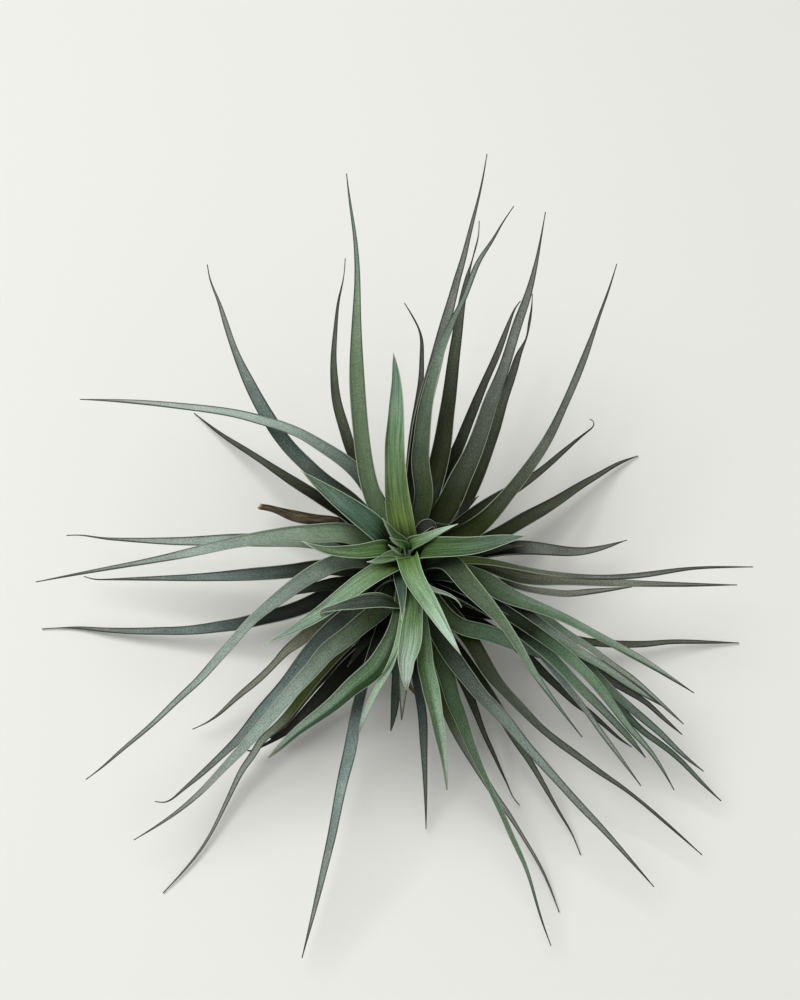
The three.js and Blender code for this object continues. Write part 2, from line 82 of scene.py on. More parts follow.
def new_material(name):
    """An empty node material of that name."""
    material = bpy.data.materials.new(name)
    material.use_nodes = True
    material.node_tree.nodes.clear()
    return material


def add_node(material, kind, inputs=None, **settings):
    """Adds a shader node with its own settings, and sets each named input to a value, or links it to a
    socket or to another node's first output."""
    node = material.node_tree.nodes.new("ShaderNode" + kind)
    for name, value in settings.items():
        setattr(node, name, value)
    for name, value in (inputs or {}).items():
        if isinstance(value, bpy.types.Node):
            value = value.outputs[0]
        if isinstance(value, bpy.types.NodeSocket):
            material.node_tree.links.new(value, node.inputs[name])
        else:
            node.inputs[name].default_value = value
    return node


def add_object(name, data):
    """An object of that name and data, put in the scene."""
    thing = bpy.data.objects.new(name, data)
    bpy.context.scene.collection.objects.link(thing)
    return thing


EYE_MM = TIP_MM - sight(*TIP_PIXEL)
camera = add_object("camera", bpy.data.cameras.new("camera"))
camera.location = EYE_MM * MM
camera.rotation_euler = (math.pi / 2 - VIEW_ELEVATION, 0, 0)
camera.data.sensor_width = SENSOR_MM
camera.data.lens = SENSOR_MM * VIEW_DISTANCE_MM / (PIXEL_MM * PICTURE_HEIGHT)
bpy.context.scene.camera = camera
bpy.context.scene.view_settings.view_transform = "Standard"

world = bpy.data.worlds.new("surround")
world.use_nodes = True
background = world.node_tree.nodes["Background"]
background.inputs["Color"].default_value = (*linear(FLOOR_COLOUR), 1)
background.inputs["Strength"].default_value = SURROUND_STRENGTH
bpy.context.scene.world = world

for soft_light in SOFT_LIGHTS:
    lamp = bpy.data.lights.new(soft_light["name"], "AREA")
    lamp.size = soft_light["size_mm"] * MM
    lamp.energy = soft_light["watts"]
    light = add_object(soft_light["name"], lamp)
    light.location = np.array(soft_light["place_mm"]) * MM
    light.rotation_euler = (-light.location).to_track_quat("-Z", "Y").to_euler()

# Painted board, dull and even.
board = new_material("matt_painted_board")
board_paint = {"Base Color": (*linear(FLOOR_COLOUR), 1), "Roughness": FLOOR_ROUGHNESS}
add_node(board, "OutputMaterial", {"Surface": add_node(board, "BsdfPrincipled", board_paint)})
floor_mesh = bpy.data.meshes.new("floor")
floor_corners = np.array([(-1, -1, 0), (1, -1, 0), (1, 1, 0), (-1, 1, 0)]) * FLOOR_HALF_WIDTH_MM * MM
floor_mesh.from_pydata(floor_corners, [], [(0, 1, 2, 3)])
floor_mesh.materials.append(board)
floor = add_object("floor", floor_mesh)

# The woody foot: what is left of the old stem, a short brown stump with a flat underside that the
# plant stands on. It is dead wood, ridged lengthwise and ringed by the scars of fallen leaves.
FOOT_PROFILE_MM = [(5.4, 0.0), (6.0, 1.2), (4.8, 6.0), (4.2, 12.0)]
FOOT_RINGS = 60
FOOT_AROUND = 72
FOOT_COLOUR = "#4a382a"
FOOT_RIDGES = 17
FOOT_RIDGE_MM = 0.22
FOOT_RIDGE_DRIFT = 0.35
FOOT_SCAR_SPACING_MM = 2.1
FOOT_SCAR_MM = 0.2
FOOT_SMOOTH_MM = 1.5
GRAIN_RADIUS_MM = 5
BARE_RIM_MM = 9
WOOD_NUMBER = 0
FIBRE_SLENDERNESS = 14
FIBRE_EDGES = (0.35, 0.7)
MOST_FIBRE = 0.45
DRY_DENT_SHARE = 0.8
DRY_SHINE = 0.25


def smooth_step(low, high, value):
    """0 up to low, 1 from high on, and 3 t squared less 2 t cubed between them."""
    t = np.clip((value - low) / (high - low), 0, 1)
    return t * t * (3 - 2 * t)


def add_piece(name, grids, material, slot, *nodes):
    """Joins grids of points, in millimetres, into one mesh that rides on the plant. Every ring of a
    grid is joined to the next by a band of four-sided faces, and its two ends are closed."""
    faces = []
    start = 0
    for grid in grids:
        rings, around = grid["place"].shape[:2]
        number = start + np.arange(rings * around).reshape(rings, around)
        beside = np.roll(number, -1, axis=1)
        bands = np.stack([number[:-1], number[1:], beside[1:], beside[:-1]], axis=-1)
        faces += bands.reshape(-1, 4).tolist()
        faces += [number[0].tolist(), number[-1, ::-1].tolist()]
        start += rings * around
    mesh = bpy.data.meshes.new(name)
    mesh.from_pydata(np.concatenate([grid["place"].reshape(-1, 3) for grid in grids]) * MM, [], faces)
    mesh.shade_smooth()
    for mark, kind, field, width in (
        ("skin", "FLOAT_COLOR", "color", 4),
        ("grain", "FLOAT_VECTOR", "vector", 3),
        ("rim", "FLOAT", "value", 1),
        ("pale", "FLOAT", "value", 1),
    ):
        values = np.concatenate([grid[mark].reshape(-1, width) for grid in grids])
        attribute = mesh.attributes.new(mark, kind, "POINT")
        attribute.data.foreach_set(field, values.astype(np.float32).ravel())
    mesh.materials.append(material)
    piece = add_object(name, mesh)
    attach(piece, "root")
    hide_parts(*nodes)


def turned_grid(profile_mm, rings, around, hex_colour, number, relief=None):
    """A turned solid of one colour: its radius runs through the profile's points of radius and height,
    plus its relief, a function of angle and height. Its grain lies round and along it, and no margin is
    within reach."""
    radii, heights = np.transpose(profile_mm)
    height = np.linspace(heights[0], heights[-1], rings)[:, None]
    angle = np.linspace(2 * np.pi, 0, around, endpoint=False)[None, :]
    radius = np.interp(height, heights, radii) + (relief(angle, height) if relief else 0)
    place = np.stack([radius * np.cos(angle), radius * np.sin(angle), height + 0 * angle], axis=-1)
    turn = np.arctan2(place[..., 1], place[..., 0])
    bare = np.full_like(turn, BARE_RIM_MM)
    return {
        "place": place,
        "skin": np.broadcast_to((*linear(hex_colour), 1), (rings, around, 4)),
        "grain": np.stack([turn * GRAIN_RADIUS_MM, place[..., 2], np.full_like(turn, number)], axis=-1),
        "rim": bare,
        "pale": bare,
    }


def foot_relief(angle, height):
    """Ridges as a cosine round the foot that drift as they rise, and leaf scars as a sharpened cosine
    of the height, both cut inwards and fading out just above the floor."""
    ridges = np.cos(FOOT_RIDGES * angle + FOOT_RIDGE_DRIFT * height + np.sin(3 * angle)) - 1
    scars = np.cos(2 * np.pi * height / FOOT_SCAR_SPACING_MM + np.sin(2 * angle)) ** 4 - 1
    return smooth_step(0, FOOT_SMOOTH_MM, height) * (FOOT_RIDGE_MM * ridges + FOOT_SCAR_MM * scars)


def fibre_noise(material, width_mm, length_mm, detail):
    """Noise on the grain's two lengths, each divided by a fibre's width or length, in that much
    detail."""
    grain = add_node(material, "Attribute", attribute_name="grain")
    scale = (1 / width_mm, 1 / length_mm, 1)
    stretched = add_node(material, "Mapping", {"Vector": grain.outputs["Vector"], "Scale": scale})
    return add_node(material, "TexNoise", {"Vector": stretched, "Scale": 1, "Detail": detail})


def finished(material, colour, roughness, shine, height, dent_mm, dent_share):
    """The material with its shader: its colour, roughness and shine, and dents that follow the height,
    as deep as the share of dent_mm."""
    bump = add_node(material, "Bump", {"Height": height, "Distance": dent_mm * MM, "Strength": dent_share})
    look = {"Base Color": colour, "Roughness": roughness, "Specular IOR Level": shine, "Normal": bump}
    add_node(material, "OutputMaterial", {"Surface": add_node(material, "BsdfPrincipled", look)})
    return material


def dry_material(name, fibre_colour, fibre_mm, roughness, dent_mm):
    """A dry, dull plant tissue: its own skin colour, crossed lengthwise by fibres of a paler colour."""
    material = new_material(name)
    skin = add_node(material, "Attribute", attribute_name="skin")
    fibres = fibre_noise(material, fibre_mm, fibre_mm * FIBRE_SLENDERNESS, 4)
    edges = {"From Min": FIBRE_EDGES[0], "From Max": FIBRE_EDGES[1], "To Max": MOST_FIBRE}
    share = add_node(material, "MapRange", {"Value": fibres, **edges})
    mix = {"Fac": share, "Color1": skin, "Color2": (*linear(fibre_colour), 1)}
    colour = add_node(material, "MixRGB", mix)
    return finished(material, colour, roughness, DRY_SHINE, fibres, dent_mm, DRY_DENT_SHARE)


foot_grid = turned_grid(FOOT_PROFILE_MM, FOOT_RINGS, FOOT_AROUND, FOOT_COLOUR, WOOD_NUMBER, foot_relief)
# Weathered wood with open fibres: dark brown, dull, paler along the ridges.
dead_wood = dry_material("weathered_dead_wood", "#7d6a52", fibre_mm=0.5, roughness=0.85, dent_mm=0.25)
add_piece("woody_foot", [foot_grid], dead_wood, "dry_leaf", "dry_base")

# The roots: a few wiry brown roots that leave the foot low down and run out along the floor. They are
# grown from the same wood, and only hold the plant to a branch.
ROOTS = 5
ROOT_SEED = 19
ROOT_START = 0.9
ROOT_SPREAD = 0.3
ROOT_FOOT_MM = (2.5, 4)
ROOT_REACH_MM = (13, 19)
ROOT_INSIDE_MM = 1.6
ROOT_WIDTH_MM = 1.3
ROOT_COLOUR = "#6b5540"
ROOT_COURSE = [
    {"share": 0.5, "sway": 0.1, "height_mm": 2.5},
    {"share": 0.8, "sway": 0.4, "height_mm": 1.2},
    {"share": 1.0, "sway": 0.7, "height_mm": 0.8},
]
FINE_STEPS = 480
BEND_CROWDING_MM = 3.0
SHEATH_LENGTH_MM = 10
GRAIN_GAP_MM = 10
WAVE_SEED = 1000
WAVE_SHARE = 0.025
WAVE_LENGTH_MM = (5, 9)
WAVE_START = (0, 6)
ROLL_PLACE = (0.1, 0.9)
MOST_THICKNESS = 0.8
CHANNEL_POWER = 1.6
CHANNEL_GROWTH = 0.5
LIP_PLACE = 0.62
LIP_PULL = 0.5
GROOVE_PLACE = 0.62
GROOVE_WIDTH = 0.09
# The pale margin is painted out near the foot, as shade there, and the dark margin, painted shade, is drawn
# wider.
MARGIN_FADE_MM = 0.3
MARGIN_FADE_PLACE = (0.08, 0.25)
LEVELLING = 0.1
SHADED_MARGIN_SCALE = 0.55
UNDERSIDE = -0.01


def seeded_draw(seed):
    """A steady stream of draws from a range: each state is the last one times 1664525 plus 1013904223,
    kept below 2 to the power of 32."""
    state = seed

    def draw(low, high):
        """low plus the range's width times the state over 2 to the power of 32."""
        nonlocal state
        state = (state * 1664525 + 1013904223) % 4294967296
        return low + (high - low) * state / 4294967296

    return draw


def polar(angle, radius, height):
    """The point at that angle and radius about the stem, at that height."""
    return np.array((radius * math.cos(angle), radius * math.sin(angle), height))


def natural_curve(points, steps):
    """A natural cubic spline through the points, with chord lengths as its parameter. Its bends solve
    h0 b0 + 2 (h0 + h1) b1 + h1 b2 = 6 (slope1 - slope0) at each inner point, with none at the ends.
    A width that follows each place is carried along by the same spline."""
    points = np.array(points, float)
    knots = np.concatenate([[0], np.cumsum(np.linalg.norm(np.diff(points[:, :3], axis=0), axis=1))])
    gap = np.diff(knots)
    slope = np.diff(points, axis=0) / gap[:, None]
    count = len(points)
    system = np.eye(count)
    wanted = np.zeros(points.shape)
    for i in range(1, count - 1):
        system[i, i - 1 : i + 2] = gap[i - 1], 2 * (gap[i - 1] + gap[i]), gap[i]
        wanted[i] = 6 * (slope[i] - slope[i - 1])
    bend = np.linalg.solve(system, wanted)
    at = np.linspace(0, knots[-1], steps + 1)
    span = np.clip(np.searchsorted(knots, at, side="right") - 1, 0, count - 2)
    before = ((knots[span + 1] - at) / gap[span])[:, None]
    after = 1 - before
    pull = (gap[span] ** 2 / 6)[:, None]
    places = before * points[span] + after * points[span + 1]
    places += pull * ((before**3 - before) * bend[span] + (after**3 - after) * bend[span + 1])
    return places, knots


def midline(points, rings):
    """Rings along a leaf: their places, each with its width if the points have one, the length walked
    to each, and the share of it at which the third point, where the blade comes into view, is passed.
    The rings share out the length plus BEND_CROWDING_MM for each radian turned, so they stand closer
    where the leaf bends."""
    fine, knots = natural_curve(points, FINE_STEPS)
    steps = np.diff(fine[:, :3], axis=0)
    length = np.linalg.norm(steps, axis=1)
    walked = np.concatenate([[0], np.cumsum(length)])
    heading = steps / length[:, None]
    turned = np.arccos(np.clip((heading[1:] * heading[:-1]).sum(axis=1), -1, 1))
    measure = walked + BEND_CROWDING_MM * np.concatenate([[0, 0], np.cumsum(turned)])
    along = np.interp(np.linspace(0, measure[-1], rings), measure, walked)
    places = np.stack([np.interp(along, walked, column) for column in fine.T], axis=1)
    first_seen = walked[round(FINE_STEPS * knots[2] / knots[-1])] / walked[-1]
    return places, along, first_seen


def blade_grid(
    points, width, number, skin, fold=0.24, taper=0.85, belly=1, turn=0, lips=(0.12, 0.12), groove=0,
    base=0.8, sheath=8, wrap=0.5, keel=0.9, point=0.28, pale=(0.35, 0.55), rings=64, around=28,
):
    """A leaf as rings, each an ellipse bent into a channel. Round a ring, s runs from one margin, -1,
    to the other, 1, as minus the cosine of the angle, and the thickness is the keel's times its sine.
    A point is lifted by fold times half the width times (s to the power of 1.6 less a half), each
    margin turns up and in by its lip over its last third, and two grooves are cut as bell curves of
    s. The width follows the points where they carry one. Else it grows from base times its full size
    up to where the blade is first seen, then falls as (1 less the share of what is left, to the power
    of belly) to the power of taper. The foot widens into a sheath that wraps the stem. From ring to
    ring the blade is pulled level by LEVELLING of the level direction across it. turn rolls the blade,
    in degrees towards its point, and skin gives its colour from the share of the length and s. The
    rim is each point's distance from the margin, with more added towards the foot, so that the pale
    margin fades out there as painted shade. The margin is pale up to the first share of pale, dark
    from the second on as painted shade, and wider there. The grain lies across and along the blade,
    GRAIN_GAP_MM from the next leaf's."""
    places, along, first_seen = midline(points, rings)
    traced_width = places[:, 3:]
    places = places[:, :3]
    share = along / along[-1]
    heading = np.gradient(places, along, axis=0)
    heading /= np.linalg.norm(heading, axis=1)[:, None]
    across = np.empty_like(heading)
    side = np.cross((0, 0, 1), places[-1] - places[0])
    for i, direction in enumerate(heading):
        side = side - direction * side.dot(direction) + LEVELLING * np.cross((0, 0, 1), direction)
        side = side / np.linalg.norm(side)
        across[i] = side
    normal = np.cross(heading, across)
    roll = np.radians(turn) * smooth_step(*ROLL_PLACE, share)[:, None]
    rolled_across = across * np.cos(roll) + normal * np.sin(roll)
    rolled_normal = normal * np.cos(roll) - across * np.sin(roll)

    draw = seeded_draw(WAVE_SEED + number)
    rising = width * (base + (1 - base) * share / first_seen)
    seen_share = np.clip((share - first_seen) / (1 - first_seen), 0, 1)
    falling = width * (1 - seen_share**belly) ** taper
    body = traced_width[:, 0] if traced_width.size else np.where(share < first_seen, rising, falling)
    body = np.maximum(body, point)
    body *= 1 + WAVE_SHARE * np.sin(along / draw(*WAVE_LENGTH_MM) + draw(*WAVE_START))
    at_foot = (1 - smooth_step(0, SHEATH_LENGTH_MM, along))[:, None]
    half = (body[:, None] + np.maximum(sheath - body[:, None], 0) * at_foot) / 2
    thick = np.minimum(keel, MOST_THICKNESS * body)[:, None]

    angle = np.linspace(0, 2 * np.pi, around, endpoint=False)[None, :]
    s = -np.cos(angle)
    curl = smooth_step(LIP_PLACE, 1, np.abs(s)) ** 2
    lip = np.where(s < 0, *lips) * (1 - at_foot)
    channel = fold * (1 + CHANNEL_GROWTH * share[:, None]) * (1 - at_foot) + wrap * at_foot
    sideways = half * (s - np.sign(s) * LIP_PULL * lip * curl)
    raised = half * (channel * (np.abs(s) ** CHANNEL_POWER - 0.5) + lip * curl)
    raised -= half * groove * np.exp(-(((np.abs(s) - GROOVE_PLACE) / GROOVE_WIDTH) ** 2))
    raised += thick / 2 * np.sin(angle)
    place = places[:, None] + rolled_across[:, None] * sideways[..., None]
    place += rolled_normal[:, None] * raised[..., None]
    place[..., 2] = np.maximum(place[..., 2], 0)

    level = np.zeros_like(raised)
    paleness = 1 - smooth_step(*pale, share[:, None])
    from_margin = half * (1 - np.abs(s)) * (SHADED_MARGIN_SCALE + (1 - SHADED_MARGIN_SCALE) * paleness)
    return {
        "place": place,
        "skin": skin(share[:, None] + level, s + level, np.sin(angle) + level < UNDERSIDE),
        "grain": np.stack([half * s, along[:, None] + level, GRAIN_GAP_MM * number + level], axis=-1),
        "rim": from_margin + MARGIN_FADE_MM * (1 - smooth_step(*MARGIN_FADE_PLACE, share[:, None])),
        "pale": paleness + level,
    }


def root_skin(share, s, under):
    """One colour all over."""
    return np.broadcast_to((*linear(ROOT_COLOUR), 1), (*s.shape, 4))


def root_grids():
    """The roots, at even turns round the foot, each swayed by seeded draws."""
    draw = seeded_draw(ROOT_SEED)
    shape = {"fold": 0, "taper": 0.3, "lips": (0, 0), "sheath": 0, "keel": ROOT_WIDTH_MM}
    grids = []
    for i in range(ROOTS):
        angle = ROOT_START + i * 2 * math.pi / ROOTS + draw(-ROOT_SPREAD, ROOT_SPREAD)
        reach = draw(*ROOT_REACH_MM)
        course = [polar(angle, ROOT_INSIDE_MM, draw(*ROOT_FOOT_MM))]
        for bend in ROOT_COURSE:
            sway = draw(-bend["sway"], bend["sway"])
            course.append(polar(angle + sway, reach * bend["share"], bend["height_mm"]))
        grids.append(blade_grid(course, ROOT_WIDTH_MM, i, root_skin, rings=48, around=12, **shape))
    return grids


# Root bark: wiry, dull and brown, with fine fibres along it.
root_bark = dry_material("wiry_root_bark", "#93795a", fibre_mm=0.3, roughness=0.8, dent_mm=0.1)
add_piece("wiry_roots", root_grids(), root_bark, "dry_leaf", "dry_base")

# The withered leaves: the oldest ones, under the plant, dried to curled brown ribbons, and among them
# one that was cut short and one thin strip. The scales are the papery stumps of leaves long gone,
# wrapped round the foot and the stem's lower end.
GOLDEN_ANGLE = math.radians(137.508)
WITHERED_LEAVES = 9
WITHERED_SEED = 7
WITHERED_START = 0.4
WITHERED_FOOT_MM = (6.5, 10)
WITHERED_REACH_MM = (18, 26)
WITHERED_BEND = 0.6
WITHERED_TIP_MM = (1.2, 4)
WITHERED_WIDTH_MM = (3.2, 4.6)
WITHERED_SWERVE = 0.25
WITHERED_FOLD = 0.4
WITHERED_TURNS = (-60, 70)
WITHERED_NUMBER = 20
DRY_SHEATH_MM = {"radius": 6, "rise": 3, "lowest_root": 3}
DRY_COLOURS = ("#4b3e2e", "#5b4a37", "#3d3226")
TRACED_DRY_COLOUR = "#211d16"
TRACED_DRY_NUMBER = 70
TRACED_DRY_POINT_MM = 0.3
CUT_END_COLOUR = "#cdb08d"
CUT_END_SHARE = 0.985
STEM_SCALES = 26
STEM_SCALE_SEED = 5
STEM_SCALE_NUMBER = 40
STEM_SCALE_FOOT_MM = (1.5, 15)
STEM_SCALE_LENGTH_MM = (8, 12)
STEM_SCALE_WIDTH_MM = (6, 7.5)
STEM_SCALE_FOOT = [(4.0, 0), (5.6, 0.35)]
STEM_SCALE_END = [
    {"share": 0.7, "sway": 0.1, "radius_mm": 6.8, "out_mm": 0.8},
    {"share": 1.0, "sway": 0.2, "radius_mm": 7.6, "out_mm": 2.4},
]
# A traced leaf's foot is how high its sheath leaves the stem. Its path gives the pixels across and down
# where its midline is seen, and its height and its width there. All but the pixels are millimetres.
TRACED_DRY_LEAVES = {
    "broken": dict(foot=9, width=4.4, turn=25, cut_mm=1.9,
        path=[(338, 522, 15, 2.6), (320, 521, 14.3, 3.4), (303, 519.5, 13.5, 4), (291, 516.5, 12.5, 3.7),
            (278, 511.5, 11.5, 2.4), (268, 508.5, 10.7, 2), (259, 507, 10, 1.9)]),
    "strip": dict(foot=9, width=1.8,
        path=[(341, 661, 14, 1.6), (325, 677, 12, 1.9), (305, 699, 9, 2), (292, 715, 7.5, 2.2),
            (280, 728, 6.5, 2.4), (270, 738, 6, 1.4)]),
}


def seen_at(across, down, height):
    """The point at that height, in millimetres, on the line of sight through a pixel."""
    way = sight(across, down)
    return EYE_MM + way * (height - EYE_MM[2]) / way[2]


def root_and_sheath(angle, height, sheath):
    """Where a leaf leaves the stem: its root inside it, and the top of its sheath beside it."""
    root = max(height - sheath["rise"], sheath["lowest_root"])
    return [polar(angle, ROOT_INSIDE_MM, root), polar(angle, sheath["radius"], height)]


def traced_points(leaf, sheath):
    """The course of a leaf through the places where its midline is seen, each with its width if that
    was traced too."""
    seen = [seen_at(*place[:3]) for place in leaf["path"]]
    angle = math.atan2(seen[0][1], seen[0][0])
    course = root_and_sheath(angle, leaf["foot"], sheath) + seen
    if len(leaf["path"][0]) == 3:
        return course
    widths = [leaf["width"]] * 2 + [place[3] for place in leaf["path"]]
    return np.column_stack([course, widths])


def dry_skin(hex_colour, cut=False):
    """A withered leaf's colour, darker by half at its foot, and pale on the face of a cut end."""

    def skin(share, s, under):
        """The skin at that share of the length and that s, and whether it is the underside."""
        shade = 0.5 + 0.5 * smooth_step(0, 0.5, share)
        mixed = shade[..., None] * linear(hex_colour)
        if cut:
            mixed = np.where((share > CUT_END_SHARE)[..., None], linear(CUT_END_COLOUR), mixed)
        return np.concatenate([mixed, np.ones((*mixed.shape[:2], 1))], axis=-1)

    return skin


def withered_grids():
    """The short withered leaves, a golden angle apart, each bent down to the floor and rolled, and
    after them the traced ones."""
    draw = seeded_draw(WITHERED_SEED)
    grids = []
    for i in range(WITHERED_LEAVES):
        angle = WITHERED_START + i * GOLDEN_ANGLE
        foot = draw(*WITHERED_FOOT_MM)
        reach = draw(*WITHERED_REACH_MM)
        points = root_and_sheath(angle, foot, DRY_SHEATH_MM)
        points.append(polar(angle, reach * WITHERED_BEND, foot))
        swerve = draw(-WITHERED_SWERVE, WITHERED_SWERVE)
        points.append(polar(angle + swerve, reach, draw(*WITHERED_TIP_MM)))
        width = draw(*WITHERED_WIDTH_MM)
        skin = dry_skin(DRY_COLOURS[i % len(DRY_COLOURS)])
        shape = {"fold": WITHERED_FOLD, "turn": WITHERED_TURNS[i % 2], "lips": (0.5, 0.3), "keel": 0.5}
        grids.append(blade_grid(points, width, WITHERED_NUMBER + i, skin, **shape))
    for i, leaf in enumerate(TRACED_DRY_LEAVES.values()):
        points = traced_points(leaf, DRY_SHEATH_MM)
        skin = dry_skin(TRACED_DRY_COLOUR, cut="cut_mm" in leaf)
        shape = {"fold": WITHERED_FOLD, "turn": leaf.get("turn", 0), "lips": (0.3, 0.3)}
        shape["point"] = leaf.get("cut_mm", TRACED_DRY_POINT_MM)
        grids.append(blade_grid(points, leaf["width"], TRACED_DRY_NUMBER + i, skin, **shape))
    return grids


def scale_grids():
    """Papery stumps, a golden angle apart up the stem, each leaning out a little at its torn end."""
    draw = seeded_draw(STEM_SCALE_SEED)
    shape = {"fold": 0.55, "taper": 0.6, "lips": (0.1, 0.1), "keel": 0.35, "rings": 28}
    grids = []
    for i, height in enumerate(np.linspace(*STEM_SCALE_FOOT_MM, STEM_SCALES)):
        angle = i * GOLDEN_ANGLE
        length = draw(*STEM_SCALE_LENGTH_MM)
        points = [polar(angle, radius, height + share * length) for radius, share in STEM_SCALE_FOOT]
        for bend in STEM_SCALE_END:
            sway = draw(-bend["sway"], bend["sway"])
            radius = bend["radius_mm"] + draw(0, bend["out_mm"])
            points.append(polar(angle + sway, radius, height + bend["share"] * length))
        skin = dry_skin(DRY_COLOURS[i % len(DRY_COLOURS)])
        width = draw(*STEM_SCALE_WIDTH_MM)
        grids.append(blade_grid(points, width, STEM_SCALE_NUMBER + i, skin, sheath=width, **shape))
    return grids


# Dead leaf: papery, dull and brown, with pale fibres along it.
papery_leaf = dry_material("papery_dead_leaf", "#9a8467", fibre_mm=0.35, roughness=0.75, dent_mm=0.12)
add_piece("withered_leaves", withered_grids(), papery_leaf, "dry_leaf", "dry_base")
add_piece("stem_scales", scale_grids(), papery_leaf, "dry_leaf", "dry_base")

# The grown leaves: tough, channelled and evergreen, dark at the foot and painted near black there as
# the shade deep among the leaves, and dusted with silvery scales that drink the air's water. They leave
# a short green stem, the long ones where their midlines are seen, and short ones packed low round the
# stem under them, painted black as shade.
STEM_PROFILE_MM = [(4.2, 12.3), (4.2, 24), (3.2, 40)]
STEM_RINGS = 40
STEM_AROUND = 40
STEM_COLOUR = "#3c4426"
STEM_NUMBER = 99
GROWN_SHEATH_MM = {"radius": 5.2, "rise": 4.5, "lowest_root": 14.2}
UNDER_LEAVES = 12
UNDER_SEED = 41
UNDER_FOOT_MM = (17, 33)
UNDER_REACH_MM = (24, 33)
UNDER_RISE_MM = (-2, 9)
UNDER_BEND = {"reach": 0.55, "rise": 0.8}
UNDER_SWERVE = 0.2
UNDER_WIDTH_MM = (4.0, 5.0)
SILVER_COLOUR = "#bccbbd"
# A tone is a leaf's colour at its foot, half way and near its point, and its share of silver dust.
TONES = {
    "tall": ("#657a42", "#72906a", "#799284", 0.15),
    "leafy": ("#4a5a40", "#677a61", "#7b8e83", 0.2),
    "outer": ("#55702f", "#78937a", "#74877a", 0.25),
    "shade": ("#141c0c", "#39532f", "#456350", 0.08),
    "bright": ("#4d6a2c", "#5c7a4e", "#6b7f68", 0.12),
    "light": ("#5c793c", "#8aab86", "#a8bdae", 0.3),
    "front": ("#54733a", "#708f62", "#adc0b2", 0.3),
    "young": ("#55762f", "#82a07e", "#abc2b3", 0.3),
    "wide": ("#42602a", "#5a7753", "#7d9283", 0.25),
    "blue": ("#3c5230", "#4d6658", "#5e705c", 0.2),
    "fresh": ("#314026", "#546b55", "#6d7d6e", 0.2),
    "silver": ("#3d4b34", "#88968d", "#84877f", 0.4),
    "sage": ("#3d4b30", "#68786a", "#7c8278", 0.3),
    "olive": ("#293114", "#5a5f58", "#6b6c67", 0.2),
    "dark": ("#1e2210", "#3a3f33", "#52544e", 0.1),
    "slate": ("#2c342c", "#6d7c78", "#777a72", 0.35),
    # black is painted shade: the short under leaves, seen only in the dark gaps between the others.
    "black": ("#080a05", "#1c2016", "#32342c", 0.03),
    "straw": ("#3c3d2f", "#636558", "#716f64", 0.2),
}
MIDDLE_SHARE = 0.58
TIP_SHARE = 0.93
# The foot fades from the sheath colour. That colour is partly the old bases' own dark and partly painted
# shade among the leaves, and on lower leaves the painted shade reaches further along.
DARK_FOOT_SHARE = {"at_mm": (16, 38), "share": (0.42, 0.18)}
GROWN_SHEATH_AND_SHADE_COLOUR = "#0b0d06"
DRY_POINT_COLOUR = "#6b6253"
DUST_AT_STOPS = (0.0, 0.2, 1.0, 0.8, 0.5)
MOST_DUSTED = 0.7
# The underside is painted shade: its colour darkened and its dust thinned.
UNDERSIDE_DUST = 0.6
UNDERSIDE_SHADE = (0.72, 0.66, 0.62)
# Painted shade lines each groove, and at STRIP_PLACE each rolled margin carries its painted highlight or
# painted shade.
GROWN_GROOVE_PLACE = 0.8
GROOVE_SHADE = 0.35
STRIP_PLACE = (0.6, 0.75)
KEEL_BLEND = 0.12
NOISE_SPREAD = 0.15
FINE_NOISE_SPREAD = 0.12
STREAK_WIDTH_MM = 0.4
STREAK_LENGTH_MM = 14
PATCH_MM = 7
PATCH_RANGE = (0.8, 1.2)
# The real scales are a tenth of a millimetre or two wide, which is too fine to show here, so they are
# drawn a little coarser.
SPECKLE_MM = 0.24
SPECKLE_RANGE = (0.5, 1.5)
MARGIN_MM = (0.1, 0.28)
# The dark margin is painted shade on the edge of a margin turned away from the light.
SHADED_MARGIN_COLOUR = "#1d211b"
RELIEF_MM = 0.04
RELIEF_SHARE = 0.6
UPPER_FOOT_MM = 30
GROWN_NUMBER = 100
LIP_SEED = 500
GROWN_LIP = (0.05, 0.25)
GROWN_TURN = 12
GROWN_FOLD = 0.36
GROWN_PALE = (0.35, 0.55)
